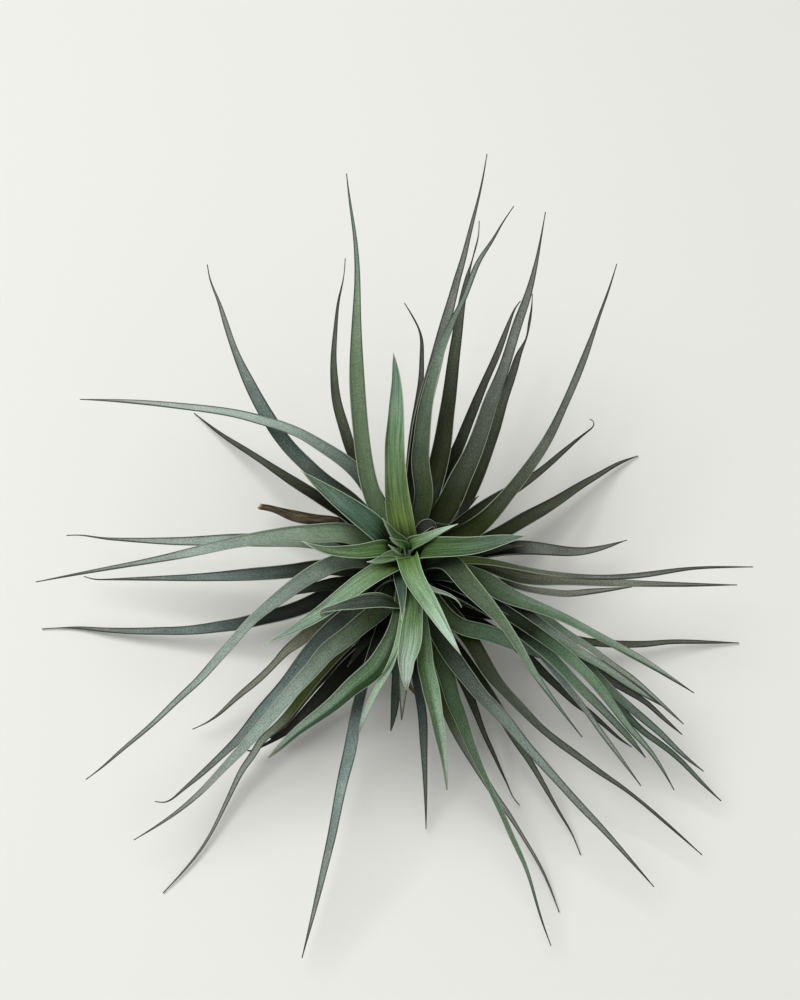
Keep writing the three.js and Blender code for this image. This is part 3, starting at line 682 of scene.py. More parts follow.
# A leaf's tone may be two, for the two sides of its keel, one lit and one in painted shade, and its
# light is painted light and shade, one factor on the tone or three on its three colours, lighter where
# the leaf is lit and darker where it lies in shade, most of all at its foot. Its strips are factors on
# its two rolled margins, a painted highlight on a lit margin and painted shade on one turned away, and
# its foot_share is how far the dark of its foot, partly painted shade, reaches. fold and turn are how
# deep its channel is and how it rolls, and pale is where its pale margin ends and its dark one, painted
# shade, begins, or past 1 where it stays pale.
GROWN_LEAVES = {
    "front_1": dict(foot=34, width=3.6, tone="sage", light=1.1,
        path=[(404, 660, 40, 3.4), (403, 690, 37, 2.2), (402.3, 705, 34.5, 1.3), (401.6, 720, 32, 0.3)]),
    "front_7": dict(foot=34, width=1.2, tone="silver",
        path=[(402, 672, 39), (399.5, 690, 37), (399, 700, 36)]),
    "front_2": dict(foot=30, width=2.2, tone="fresh", light=0.4,
        path=[(396, 672, 30, 2.2), (395, 700, 27, 2.3), (393.5, 715, 24.5, 1.6), (390.7, 731, 21, 0.3)]),
    "front_3": dict(foot=24, width=2.6, tone="slate", light=(0.05, 0.6, 1.0),
        path=[(416, 680, 25, 2.4), (421.5, 710, 21, 2.6), (423.3, 737, 16.5, 2.3), (424.2, 760, 13, 1.7),
            (425.5, 795, 7, 1), (426, 829, 2, 0.2)]),
    "front_4": dict(foot=37, width=3.8, tone="bright/light", light=(0.77, 0.72, 0.77), fold=0.4, turn=0,
        strips=(0.8, 1.4), pale=(0.8, 1.2),
        path=[(424, 640, 46, 3.6), (425, 655, 45.5, 3.9), (425.8, 667, 45, 4.2), (428.4, 678, 44.3, 4.2),
            (431, 690, 43.3, 4.3), (433.5, 701.5, 42.3, 3.9), (435.5, 711, 41.5, 3.5), (440, 735, 39, 2.9),
            (443.4, 755, 36.8, 2), (447, 790, 33, 0.3)]),
    "front_5": dict(foot=37, width=1.8, tone="light", light=(0.4, 0.95, 0.85), pale=(0.8, 1.2),
        path=[(400, 632, 46, 1.6), (397, 645, 45, 1.6), (393.5, 657, 44, 1.7), (389.5, 667, 43, 1.8),
            (383.5, 678, 42, 1.75), (377.3, 688.5, 40.5, 1.6), (368, 708, 38.3, 1.5), (363, 720, 36.5, 1.2),
            (358.3, 733.5, 34.5, 0.3)]),
    "front_6": dict(foot=37, width=5.0, tone="light/shade", light=(0.3, 0.58, 0.62), fold=0.45, turn=0,
        pale=(0.8, 1.2),
        path=[(399, 613, 46, 3.4), (395.5, 630, 45.5, 4), (388.5, 648, 44, 4.9), (374, 670, 42, 5.4),
            (356.5, 684.5, 39, 5), (335.5, 703.4, 36, 4.2), (314.5, 719.3, 32.5, 3.4), (294, 735, 29, 2.5),
            (280.5, 747.3, 26, 1.7), (268.5, 758, 24, 0.3)]),
    "back_curl": dict(foot=38, width=1.3, tone="dark", light=(0.3, 0.25, 0.5), fold=0.3, turn=0,
        pale=(2, 3),
        path=[(417, 535, 46, 2.2), (421, 529.5, 47, 3), (427, 525, 47.5, 3.2), (432, 524.5, 47, 2.2),
            (434.5, 528, 46, 1.3), (434, 535, 45, 1)]),
    "back_thread": dict(foot=38, width=0.5, tone="straw",
        path=[(437, 523, 46, 0.5), (446, 524.5, 46, 0.4), (454, 519, 46, 0.35), (458.5, 511, 46, 0.3),
            (460.5, 501, 46, 0.3)]),
    "left_1": dict(foot=33, width=4.6, tone="silver", light=(0.45, 1.4, 1.65), foot_share=0.2,
        path=[(354, 471, 45.5, 4.3), (320, 446, 49, 3.6), (300, 434.2, 50.5, 3.1), (270, 423.3, 51.2, 3),
            (240, 415.2, 50.5, 2.55), (190, 407.6, 47.5, 2), (140, 402.5, 44, 1.35),
            (105, 400.3, 41.5, 0.65), (80, 399.4, 40, 0.2)]),
    "left_2": dict(foot=18, width=5.6, tone="dark", light=(0.4, 1.3, 1.2),
        path=[(350, 518, 21, 4.2), (335, 508.5, 19.5, 4.1), (320, 499.2, 17.5, 3.8), (300, 486.6, 15, 3.4),
            (280, 473.5, 12, 2.7), (260, 459.9, 9, 2), (240, 447, 6, 1.7), (220, 433.7, 3, 1.1),
            (194, 413, 0.5, 0.2)]),
    "left_3": dict(foot=30, width=5.2, tone="slate", light=(1.7, 0.95, 1.3),
        path=[(348, 499, 36, 4.6), (324, 481.5, 40, 4.5), (305, 464.4, 43, 4.3), (288, 447, 45.3, 4.1),
            (271.8, 424.4, 48, 3.9), (257.5, 400, 50.5, 3.5), (247.5, 380, 52.3, 3),
            (238.5, 360, 53.8, 2.2), (231, 340, 55, 1.75), (224.6, 320, 56, 1.5), (218, 300, 57, 0.85),
            (210, 279, 57.7, 0.4), (207.4, 264.6, 58, 0.2)]),
    "left_4": dict(foot=28, width=4.2, tone="silver", light=1.1, foot_share=0.12,
        path=[(300, 541.5, 30, 4.6), (270, 541.2, 29, 4.3), (240, 541, 27.5, 3.9), (200, 541.6, 25.5, 2.9),
            (180, 541.8, 24, 2.5), (160, 541.4, 23, 2.05), (140, 540.6, 21.5, 1.5), (120, 539.6, 20.5, 1),
            (100, 538, 19.5, 0.6), (81, 535.3, 18.6, 0.35), (66.5, 535.5, 18, 0.2)]),
    "left_5": dict(foot=38, width=6.6, tone="silver", light=(2.64, 1.1, 0.9), foot_share=0.12,
        pale=(0.5, 0.65),
        path=[(340, 534.3, 47.5, 6.1), (320, 534.8, 48, 5.9), (300, 534.9, 48, 5.1),
            (280, 536.7, 47.7, 4.6), (260, 539.4, 47, 4.05), (240, 542.3, 46.2, 3.45), (200, 551, 44, 2.85),
            (160, 559.3, 41, 1.95), (120, 566.5, 37.5, 1.25), (80, 573.7, 34, 0.75), (36, 582, 31, 0.2)]),
    "left_6": dict(foot=22, width=5.2, tone="slate", light=(0.96, 0.95, 0.95), foot_share=0.33,
        path=[(320, 568.5, 26, 4.8), (300, 571, 24, 4.6), (280, 573.3, 22, 4.3), (260, 574.8, 20, 4),
            (240, 576, 18, 3.5), (220, 577, 16.5, 2.9), (200, 577.8, 15, 2.4), (160, 578.6, 12, 1.5),
            (120, 579.3, 9.5, 0.7), (105, 579.6, 8.7, 0.45), (94, 579.2, 8.2, 0.35), (84, 576.5, 8, 0.2)]),
    "left_7": dict(foot=35, width=5.0, tone="silver", light=(0.99, 1.1, 1.16), foot_share=0.12,
        pale=(0.5, 0.65),
        path=[(336, 565, 47, 5.4), (306, 580, 46.5, 4.8), (278, 600, 45, 3.8), (253.5, 620, 43.7, 2.8),
            (235, 640, 42.5, 2.7), (217.3, 660, 41, 2.6), (199.4, 680, 39, 2.2), (180, 698, 36.5, 1.8),
            (160, 717.2, 33.5, 1.4), (140, 735, 31, 1.1), (120, 751.8, 28, 0.85), (100, 769, 25.5, 0.45),
            (86, 779.5, 24, 0.2)]),
    "left_8": dict(foot=16, width=5.4, tone="slate", light=(0.4, 0.95, 0.9), foot_share=0.4,
        path=[(330, 596, 17, 5.2), (310, 605, 15.5, 5.1), (280, 615.3, 13, 4.5), (260, 620, 11.5, 4.2),
            (240, 624.6, 9.5, 3.9), (220, 627.5, 8, 3.5), (200, 630, 6.8, 3.1), (180, 631.3, 5.5, 2.7),
            (160, 631.5, 4.5, 2.4), (140, 631.6, 3.5, 2.1), (120, 631, 2.6, 1.7), (100, 629.8, 1.8, 1.25),
            (80, 628, 1, 0.8), (60, 628, 0.7, 0.35), (42, 629, 0.5, 0.2)]),
    "left_9": dict(foot=20, width=3.4, tone="straw", light=(1.0, 1.68, 1.2),
        path=[(318, 626, 24, 4.4), (301.5, 640, 21.5, 3.5), (288, 650, 19.5, 2.7), (278.3, 660, 17.5, 2.1),
            (258.3, 680, 14, 2), (234, 700.5, 10, 1.4), (220, 713.4, 7.5, 0.9), (207, 722.5, 6, 0.45),
            (192.5, 729.3, 5, 0.2)]),
    "left_10": dict(foot=29, width=5.0, tone="slate", light=(0.96, 1.16, 0.95),
        path=[(352, 614, 37, 5), (326, 636, 32, 4.8), (307, 658, 29.5, 4.6), (286, 686, 27, 4.2),
            (263, 711, 24, 3.6), (243, 735, 21, 2.8), (225, 752.5, 18.5, 2), (200, 775.5, 15.5, 1.4),
            (180, 792.5, 13.5, 0.7), (166, 802, 12, 0.4), (155, 801.5, 11, 0.2)]),
    "left_11": dict(foot=33, width=6.4, tone="silver", light=(1.65, 1.16, 1.16), strips=(1.5, 0.8),
        pale=(0.7, 0.85),
        path=[(376, 614, 41, 5.6), (361, 626, 40, 5.3), (345, 639.5, 38, 5.3), (328, 652.5, 36, 5.2),
            (317.2, 665, 34.5, 4.9), (296.3, 688, 32, 4.3), (280.5, 706, 29.5, 3.85),
            (264.7, 724.2, 27, 3.4), (244.7, 746.7, 24.5, 2.9), (223, 769.2, 22, 2.1),
            (202.2, 790.9, 18.5, 1.6), (180, 809.9, 15.5, 1.1), (160, 824, 13, 0.7), (134, 840, 11, 0.2)]),
    "tiny_hook": dict(foot=36, width=0.6, tone="silver",
        path=[(371, 600, 46, 0.6), (369, 608, 46.5, 0.6), (368, 614, 46, 0.5), (369, 620, 45.5, 0.3)]),
    "left_12": dict(foot=18, width=4.0, tone="dark", light=(0.25, 0.35, 0.7),
        path=[(366, 650, 19, 4.6), (347, 669, 17, 4.8), (331, 687, 14, 4.4), (315, 704, 11.5, 3.8),
            (299, 720, 9, 2.8), (284, 733.5, 7, 1.7), (270, 742, 5.5, 1), (258, 748.5, 4.5, 0.6),
            (250, 751, 4.3, 0.45), (245.5, 749, 4.6, 0.35), (243.3, 744.5, 5, 0.2)]),
    "left_13": dict(foot=16, width=2.4, tone="olive", light=(2.31, 2.64, 2.0),
        path=[(300, 700, 12, 2.6), (275, 729, 9, 2.4), (262, 741, 7.5, 2.2), (253, 755, 6.5, 2),
            (244.5, 767, 5.5, 1.8), (233, 788.6, 4, 1.4), (222.4, 811, 3, 1.1), (212, 831.7, 2.2, 0.9),
            (202, 848, 1.7, 0.8), (163, 893, 0.5, 0.2)]),
    "left_14": dict(foot=31, width=3.2, tone="slate", light=(0.4, 1.5, 1.3), foot_share=0.32,
        path=[(362, 690, 33, 3), (355.6, 717, 31, 3.1), (350.5, 748, 29, 3.4), (344.1, 775, 27, 3.05),
            (338, 804, 24.5, 2.65), (331.6, 837, 21, 2.4), (327.8, 853.5, 19, 2.2), (318, 895, 14.5, 1.5),
            (302, 958, 8, 0.2)]),
    "back_1": dict(foot=36, width=4.8, tone="leafy", light=(1.3, 1.2, 1.05), foot_share=0.12,
        path=[(370, 487, 46, 5), (364.5, 460, 49, 4.7), (359.9, 420, 54, 4.4), (357.2, 380, 59.5, 4.1),
            (356.6, 350, 63, 3.4), (357, 310, 67, 2.35), (357.5, 280, 70, 1.7), (356.9, 260, 71.8, 1.4),
            (355.3, 240, 73, 1.1), (349.7, 200, 75, 0.6), (346.5, 173.5, 76, 0.2)]),
    "back_2": dict(foot=24, width=3.4, tone="dark", light=(1.6, 1.8, 1.3),
        path=[(356, 462, 28, 3.6), (349, 445, 31, 3.4), (343.5, 427, 33, 3.2), (339, 412, 34.5, 3),
            (336, 398, 35.8, 2.75), (334.2, 380, 37.2, 2.4), (333.6, 358, 38.8, 1.85),
            (334.8, 338, 40, 1.45), (336.5, 318, 41, 1.05), (339, 299, 41.7, 0.75), (343.2, 280, 42, 0.35),
            (345.2, 258.5, 42, 0.2)]),
    "back_3": dict(foot=20, width=2.2, tone="dark", light=(2.2, 1.3, 1),
        path=[(411, 455, 21, 2.4), (414, 430, 25, 2.4), (418.5, 400, 28, 2), (421.3, 375, 30.5, 1.6),
            (421.8, 355, 32, 1.3), (421.5, 340, 32.8, 0.95), (419.5, 331, 33.2, 0.6),
            (414.5, 320, 33.5, 0.5), (404.4, 303, 34, 0.2)]),
    "back_4": dict(foot=32, width=4.7, tone="olive", light=(0.3, 1.5, 1.2), foot_share=0.35,
        path=[(415, 475, 34, 4.7), (418, 450, 38, 4.7), (422, 420, 42.5, 4.4), (428, 392, 47, 4.1),
            (436.5, 360, 51, 3.7), (446.5, 320, 56.5, 2.9), (452, 300, 59, 2.4), (457.2, 280, 61.3, 1.95),
            (463, 260, 63.5, 1.6), (468, 240, 65.3, 1.25), (473, 220, 67, 1), (478.1, 200, 68.3, 0.7),
            (482.5, 180, 69.4, 0.5), (487, 154, 70, 0.2)]),
    "back_5": dict(foot=38, width=5.2, tone="sage", light=(1.0, 1.05, 1.0), strips=(1.8, 1),
        pale=(0.5, 0.65),
        path=[(424, 492, 46, 5.2), (420.5, 465, 50, 5), (421.6, 440, 54, 4.5), (425, 410, 58, 3.9),
            (431.9, 380, 61.5, 3.1), (441, 350, 65, 2.5), (453.4, 320, 68, 1.8), (463.3, 300, 69.5, 1.5),
            (471, 280, 70.5, 1.55), (479.7, 260, 71.2, 1.3), (490.8, 243, 71.7, 0.85), (502, 224, 72, 0.45),
            (513.8, 206.3, 72, 0.2)]),
    "back_6": dict(foot=26, width=5.4, tone="dark", light=(1.98, 1.54, 1.32),
        path=[(437, 470, 33, 5.5), (443.3, 440, 36, 5.1), (446, 420, 37.5, 4.6), (448.9, 400, 39, 4.2),
            (453.7, 360, 42, 3.45), (457.2, 335, 43.5, 2.9), (460, 315, 44.5, 2.4), (463.5, 295, 45.3, 1.8),
            (468.5, 273, 45.9, 1), (471.7, 262, 46, 0.45), (475, 250, 46, 0.5), (478.3, 236, 46, 0.35),
            (479.2, 221, 46, 0.2)]),
    "back_7": dict(foot=36, width=5.9, tone="olive", light=(0.85, 1.3, 1.1),
        path=[(451, 501, 42, 6.4), (460, 481, 44.5, 6), (468.9, 463, 46.5, 5.4), (485, 421, 52, 4.5),
            (492, 400, 54.5, 4.1), (500, 380, 56.7, 3.45), (510, 350, 60, 2.8), (519.3, 320, 62.5, 2.55),
            (526.5, 300, 63.5, 2.1), (532.2, 280, 64.5, 1.55), (536.8, 260, 65.2, 1),
            (540.6, 240, 65.7, 0.6), (545.5, 212, 66, 0.2)]),
    "back_8": dict(foot=30, width=4.0, tone="dark", light=(0.8, 0.9, 1.3),
        path=[(452, 462, 29, 3.8), (460, 444, 31.5, 3.5), (469.5, 420, 34, 3.1), (478, 399, 36, 2.7),
            (486, 380, 37.8, 2.25), (495, 360, 39.5, 2.05), (503.8, 337.5, 41, 1.65), (511, 318, 41.8, 0.9),
            (515.5, 308, 42, 0.5), (520.5, 301, 42, 0.25)]),
    "back_9": dict(foot=22, width=4.4, tone="dark", light=(1.6, 1.2, 1.1),
        path=[(466, 500, 24, 4.6), (476, 480, 26.5, 4.4), (489, 446, 30.5, 3.8), (496.5, 424, 33, 3.4),
            (503.5, 400, 35, 2.9), (510, 382, 36.3, 2.5), (514.3, 369, 37.2, 2.25), (520.5, 351, 38.2, 1.4),
            (525.5, 340.5, 38.7, 0.6), (529, 325, 39, 0.8), (531.8, 306, 39, 0.45), (532.3, 294, 39, 0.2)]),
    "back_10": dict(foot=34, width=5.2, tone="olive", light=(1.05, 1.2, 1.0),
        path=[(470, 533, 36, 6), (486.8, 519.9, 39, 5.4), (506.3, 498, 42, 4.25), (525.3, 473.6, 44, 3.6),
            (547, 441.5, 46.3, 2.85), (563.5, 408, 48, 2.1), (571.7, 389.6, 48.7, 2.1),
            (584.5, 358, 49.5, 1.95), (592.8, 335, 50, 1.35), (599.7, 315, 50, 0.9), (607, 295, 50, 0.65),
            (616.8, 264, 50, 0.2)]),
    "back_11": dict(foot=26, width=3.8, tone="dark", light=(2.0, 1.5, 1.1),
        path=[(478, 513, 29, 4.6), (500, 498.5, 27.5, 4), (521, 485.5, 26, 3), (540, 472, 24.5, 2.05),
            (560, 454.8, 22.8, 1.55), (580, 437.6, 21.5, 0.75), (589, 430.5, 21, 0.5),
            (593.8, 424.5, 21, 0.35), (592.8, 421, 21, 0.25), (589.5, 419.2, 21, 0.2)]),
    "right_1": dict(foot=20, width=4.6, tone="dark", light=(2.6, 1.9, 1.4),
        path=[(505, 532, 19, 4.6), (522, 522, 16.5, 4.5), (540, 512, 13.5, 4), (560, 499.8, 10.5, 3.2),
            (580, 486.5, 7.5, 2.5), (600, 474.5, 4.5, 1.75), (620, 463, 2, 1), (638, 456, 0.5, 0.2)]),
    "right_2": dict(foot=24, width=4.7, tone="olive", light=(0.25, 1.68, 1.23), foot_share=0.47,
        path=[(520, 549, 24), (580, 552, 17), (627, 540, 12)]),
    "right_3": dict(foot=34, width=2.4, tone="olive", light=(2.2, 1.4, 1.0), fold=0.5,
        path=[(480, 561.3, 39, 2.2), (505, 565.2, 38.5, 1.7), (530, 570.3, 37.5, 1.4),
            (560, 575, 36.5, 1.4), (602, 577.6, 35.5, 1.4), (646, 575, 34.5, 1.6), (690, 568.8, 32.5, 0.9),
            (720, 567.3, 32, 0.6), (753, 567, 31, 0.2)]),
    "right_4": dict(foot=31, width=3.4, tone="olive/straw", light=(0.9, 1.6, 1.3), turn=0,
        strips=(0.7, 1.6), pale=(0.6, 0.8),
        path=[(480, 564, 36, 3.4), (500, 571.5, 35, 3.8), (520, 577.8, 34, 3.8), (560, 581, 31.5, 2.8),
            (600, 582.7, 29.5, 2.5), (640, 584, 27.5, 1.9), (680, 584.8, 26, 1.3), (737, 585, 24, 0.2)]),
    "right_5": dict(foot=27, width=2.4, tone="olive/straw", light=(0.85, 1.98, 1.76), foot_share=0.44,
        strips=(0.3, 1.3), pale=(0.6, 0.8),
        path=[(505, 583, 29, 1.8), (525, 588.7, 27.5, 1.8), (545, 592, 26, 2), (570, 594, 24, 1.9),
            (586, 592.4, 23, 1.8), (604, 590.4, 21.5, 1.3), (632, 587, 20, 0.2)]),
    "right_6": dict(foot=16, width=2.6, tone="dark", light=(1.92, 2.0, 1.76),
        path=[(580, 641, 12, 2.5), (605, 644, 9, 2.3), (630, 644.8, 7.5, 2.1), (648, 644.2, 6, 1.8),
            (668, 642.3, 4.5, 1.4), (690, 642, 3, 1.2), (739, 643, 0.6, 0.2)]),
    "right_7": dict(foot=35, width=6.0, tone="fresh/sage", light=(1.0, 1.4, 1.6), foot_share=0.22,
        fold=-0.3, strips=(0.6, 1.45), pale=(0.6, 0.8),
        path=[(487, 583, 43, 5.8), (504, 593, 42, 5.2), (526, 602.5, 41, 4), (560, 616, 40, 2.9),
            (603, 638.3, 37.5, 2.3), (640, 658.5, 35, 2), (665, 674, 33, 1.2), (694, 693, 31, 0.2)]),
    "right_8": dict(foot=30, width=3.4, tone="sage", light=1.5, foot_share=0.36, pale=(0.6, 0.8),
        path=[(540, 616, 34, 3.2), (565, 633, 33, 2.4), (592, 649.5, 31, 1.8), (610, 663, 29.5, 1.6),
            (629, 676.5, 28, 1.6), (648, 692, 26, 1.2), (668, 710, 23.5, 0.8), (683.5, 724, 22, 0.2)]),
    "right_9": dict(foot=33, width=5.0, tone="fresh/sage", light=(0.3, 1.2, 1.4), foot_share=0.46,
        pale=(0.6, 0.8),
        path=[(520, 614, 38, 5), (545, 631, 36, 4.2), (570, 647, 33.5, 3.2), (588, 658, 32, 2.6),
            (607, 669.5, 30, 2.5), (625, 682, 28, 2.3), (645, 695, 25.5, 1.4), (662, 706, 24, 0.2)]),
    "right_10": dict(foot=27, width=3.4, tone="olive", light=(0.45, 0.75, 1), foot_share=0.44,
        path=[(560, 650, 29, 3.2), (590, 668, 27, 2.6), (620, 687, 24.5, 2), (648, 704.5, 21, 1.5),
            (661, 716.3, 19, 1.2), (672, 726, 17, 0.8), (682, 734.6, 15, 0.2)]),
    "right_11": dict(foot=29, width=4.4, tone="leafy", light=(0.47, 0.62, 0.8), foot_share=0.44,
        pale=(0.6, 0.8),
        path=[(545, 632, 32, 4), (572, 652, 30, 3.2), (600, 680, 27, 2.6), (621, 700, 25, 2.4),
            (641, 717.5, 22, 2.3), (661, 734.5, 19, 1.8), (680, 752.5, 16, 1.2), (703.5, 771.4, 13, 0.2)]),
    "right_12": dict(foot=23, width=4.0, tone="fresh", light=(1.0, 1.04, 1.14), foot_share=0.36,
        path=[(575, 662, 24, 3), (612, 698, 20, 2.3), (641, 730, 17, 1.9), (658.5, 743, 15, 1.7),
            (680, 760.5, 12, 1.4), (700, 781, 9, 1), (721, 801, 6, 0.2)]),
    "right_13": dict(foot=34, width=4.6, tone="fresh", light=(0.36, 1.45, 1.4), foot_share=0.43,
        pale=(0.6, 0.8),
        path=[(545, 640, 37, 3.6), (565, 655, 35, 3.3), (582, 670, 33, 3), (600, 690, 31, 2.9),
            (615.5, 710, 28.5, 2.4), (631, 730, 26, 1.9), (648.8, 750, 24, 1.3), (674, 790, 22, 0.2)]),
    "right_14": dict(foot=32, width=4.2, tone="fresh", light=(0.3, 1.2, 1.2), foot_share=0.44,
        strips=(1.7, 1.4), pale=(0.6, 0.8),
        path=[(540, 648, 33, 3.4), (560, 667, 31, 3), (578, 686, 29, 2.8), (594.5, 702, 27, 2.5),
            (612, 720, 24.5, 2), (628, 737, 22, 1.6), (645.6, 757.7, 20, 0.2)]),
    "right_15": dict(foot=31, width=3.0, tone="slate", light=(0.4, 1.54, 1.65), foot_share=0.36,
        strips=(1.6, 1.6), pale=(0.6, 0.8),
        path=[(512, 620, 33, 2.6), (530, 641, 31, 2.5), (549, 664, 28, 2.2), (566, 686, 25, 1.9),
            (580, 703, 23, 1.6), (598, 728, 20.5, 1.45), (615, 751, 18.5, 1.1), (641, 786, 16, 0.2)]),
    "right_16": dict(foot=34, width=5.0, tone="fresh", light=(1.6, 1.3, 1.5), foot_share=0.42,
        strips=(1.3, 1.3), pale=(0.6, 0.8),
        path=[(461, 627, 36, 4.5), (481, 632.5, 35, 4.6), (500, 638.3, 33.5, 4.5), (520, 645.5, 31, 4.2),
            (533, 651, 29.5, 3.4), (546, 658, 28, 2.2), (567, 673, 26, 0.2)]),
    "right_17": dict(foot=18, width=3.4, tone="dark", light=(1, 1.2, 1.2),
        path=[(524, 654, 21, 2.6), (546, 676, 17, 2.4), (562, 691, 14.5, 2.2), (577, 704, 12, 2.2),
            (590, 713.5, 10, 1.7), (605, 726, 8, 1.1), (620, 739, 6, 0.7), (631.5, 747, 4, 0.2)]),
    "right_18": dict(foot=38, width=5.6, tone="leafy", light=(0.5, 0.8, 1.32), fold=0.4, turn=0,
        strips=(1, 2.3), pale=(0.6, 0.8),
        path=[(452, 566, 48.5, 5.4), (464, 580, 50, 5.2), (480, 598, 50, 4.6), (498, 617.5, 49.5, 3.2),
            (516, 643, 48.5, 2.4), (529, 665, 47, 2), (546, 690, 45, 1.3), (582, 737, 38, 0.2)]),
    "low_1": dict(foot=31, width=5.0, tone="olive", light=(0.9, 1.1, 0.9), strips=(1, 1.6),
        path=[(476, 650, 33, 4.6), (489, 672, 31, 4.2), (501.5, 688, 29, 3.3), (520.5, 708, 27, 2.8),
            (540, 727.5, 24.5, 2.1), (560, 743.7, 22, 2.05), (580, 758.2, 19.3, 1.9),
            (600, 772.6, 16.8, 1.6), (620, 786, 14.5, 1.15), (660, 818, 11, 0.9), (702, 855, 7, 0.2)]),
    "low_2": dict(foot=35, width=5.0, tone="silver", light=(0.45, 0.85, 0.85), foot_share=0.27,
        path=[(455, 662, 38.5, 4.8), (467, 678, 37, 4.4), (482, 697, 35, 3.9), (500, 715, 33, 3.6),
            (520, 739, 30.5, 2.85), (540, 761.8, 27.5, 2.45), (560, 784, 24.5, 2.15),
            (580, 806, 21.5, 2.05), (600, 826.8, 18.8, 1.7), (620, 848.6, 16, 1.2), (654, 887, 11, 0.2)]),
    "low_3": dict(foot=18, width=3.0, tone="dark", light=(2.0, 2.2, 2.0),
        path=[(505, 722, 16, 3), (518, 744, 13, 2.3), (526, 756, 11.3, 1.9), (533.8, 768.5, 9.5, 1.6),
            (543.2, 784.6, 7.3, 1.35), (552, 800, 5.3, 1), (562, 817, 3.3, 0.75), (571.4, 833, 1.8, 0.45),
            (580.5, 855, 0.5, 0.2)]),
    "low_4": dict(foot=18, width=3.4, tone="dark", light=(0.9, 1.14, 1.3),
        path=[(468, 692, 17, 3), (472.9, 705, 15, 2.4), (477.5, 717, 13.3, 1.95), (483.7, 733, 11, 1.5),
            (489.6, 746, 9, 1.3), (495.6, 759, 7.3, 1), (502, 773, 5.3, 0.7), (508.4, 787, 3.5, 0.4),
            (513, 797, 2.6, 0.3), (519.6, 805.4, 2, 0.2)]),
    "low_5": dict(foot=30, width=5.2, tone="fresh", light=(1.5, 1.15, 1.05), pale=(0.7, 0.9),
        path=[(449, 686, 34.5, 4.6), (453.5, 701.5, 33.5, 4.25), (459.6, 716.5, 32, 3.75),
            (466.5, 735, 30, 3), (472.9, 751, 28, 2.4), (479.8, 766.5, 26, 1.9), (486.5, 781, 24, 1.55),
            (493, 796, 22, 1.45), (502.7, 816, 19.5, 1.6), (510, 833, 17.3, 1.6), (517.4, 849, 15.3, 1.5),
            (526.5, 870, 12.5, 1.05), (540, 915, 8, 0.6), (551, 946, 6, 0.2)]),
    "low_6": dict(foot=20, width=4.0, tone="olive", light=(2.28, 1.99, 1.9),
        path=[(444, 703, 22, 3.4), (451, 720.5, 20, 3.2), (465.5, 748.4, 17, 2.7), (482.2, 776, 13.5, 2.2),
            (496, 797.5, 10.5, 1.8), (506, 811, 8.5, 1.5), (516, 826, 6.8, 1.15), (525.3, 841, 5, 1),
            (542, 870, 2.3, 0.75), (559, 912, 0.5, 0.2)]),
}


def living_skin(leaf, sheath_and_shade_colour, foot_share, groove_place):
    """A living leaf's colour and, as its fourth number, its share of silver dust: from its sheath's
    colour, dark and partly painted shade among the leaves, through the tone's three, times its one
    light or three, which paint light and shade on it, to a dry point. Each side of the keel is in its
    own tone if it has two, one lit and one in painted shade. Each rolled margin is lightened or darkened
    by its strip's factor, a painted highlight where lightened and painted shade where darkened, each
    groove gets a darker line of painted shade, and the underside is darker with thinner dust, painted
    shade too. The skin is the colour that, mixed with the dust, looks like the tone: (tone less dust
    times silver) over (1 less dust). The dust gives at most the share MOST_DUSTED of the tone."""
    stops = (0, foot_share, MIDDLE_SHARE, TIP_SHARE, 1)
    silver = linear(SILVER_COLOUR)
    sides = []
    for side in leaf["tone"].split("/"):
        foot, middle, tip, dust = TONES[side]
        seen = np.array([linear(c) for c in (sheath_and_shade_colour, foot, middle, tip, DRY_POINT_COLOUR)])
        seen[1:4] *= np.broadcast_to(leaf.get("light", 1), 3)[:, None]
        shares = np.minimum(dust * np.array(DUST_AT_STOPS), (MOST_DUSTED * seen / silver).min(axis=1))
        bare = (seen - shares[:, None] * silver) / (1 - shares[:, None])
        sides.append(np.column_stack([bare, shares]))

    def skin(share, s, under):
        """The skin at that share of the length and that s, and whether it is the underside."""
        left, right = [
            np.stack([np.interp(share, stops, colours[:, k]) for k in range(4)], axis=-1)
            for colours in (sides[0], sides[-1])
        ]
        rightness = smooth_step(-KEEL_BLEND, KEEL_BLEND, s)[..., None]
        mixed = left * (1 - rightness) + right * rightness
        rolled = smooth_step(*STRIP_PLACE, np.abs(s))
        factor = 1 + rolled * (np.where(s < 0, *leaf.get("strips", (1, 1))) - 1)
        factor *= 1 - GROOVE_SHADE * np.exp(-(((np.abs(s) - groove_place) / GROOVE_WIDTH) ** 2))
        mixed[..., :3] *= factor[..., None] * np.where(under[..., None], UNDERSIDE_SHADE, 1)
        mixed[..., 3] *= np.where(under, UNDERSIDE_DUST, 1)
        return mixed

    return skin


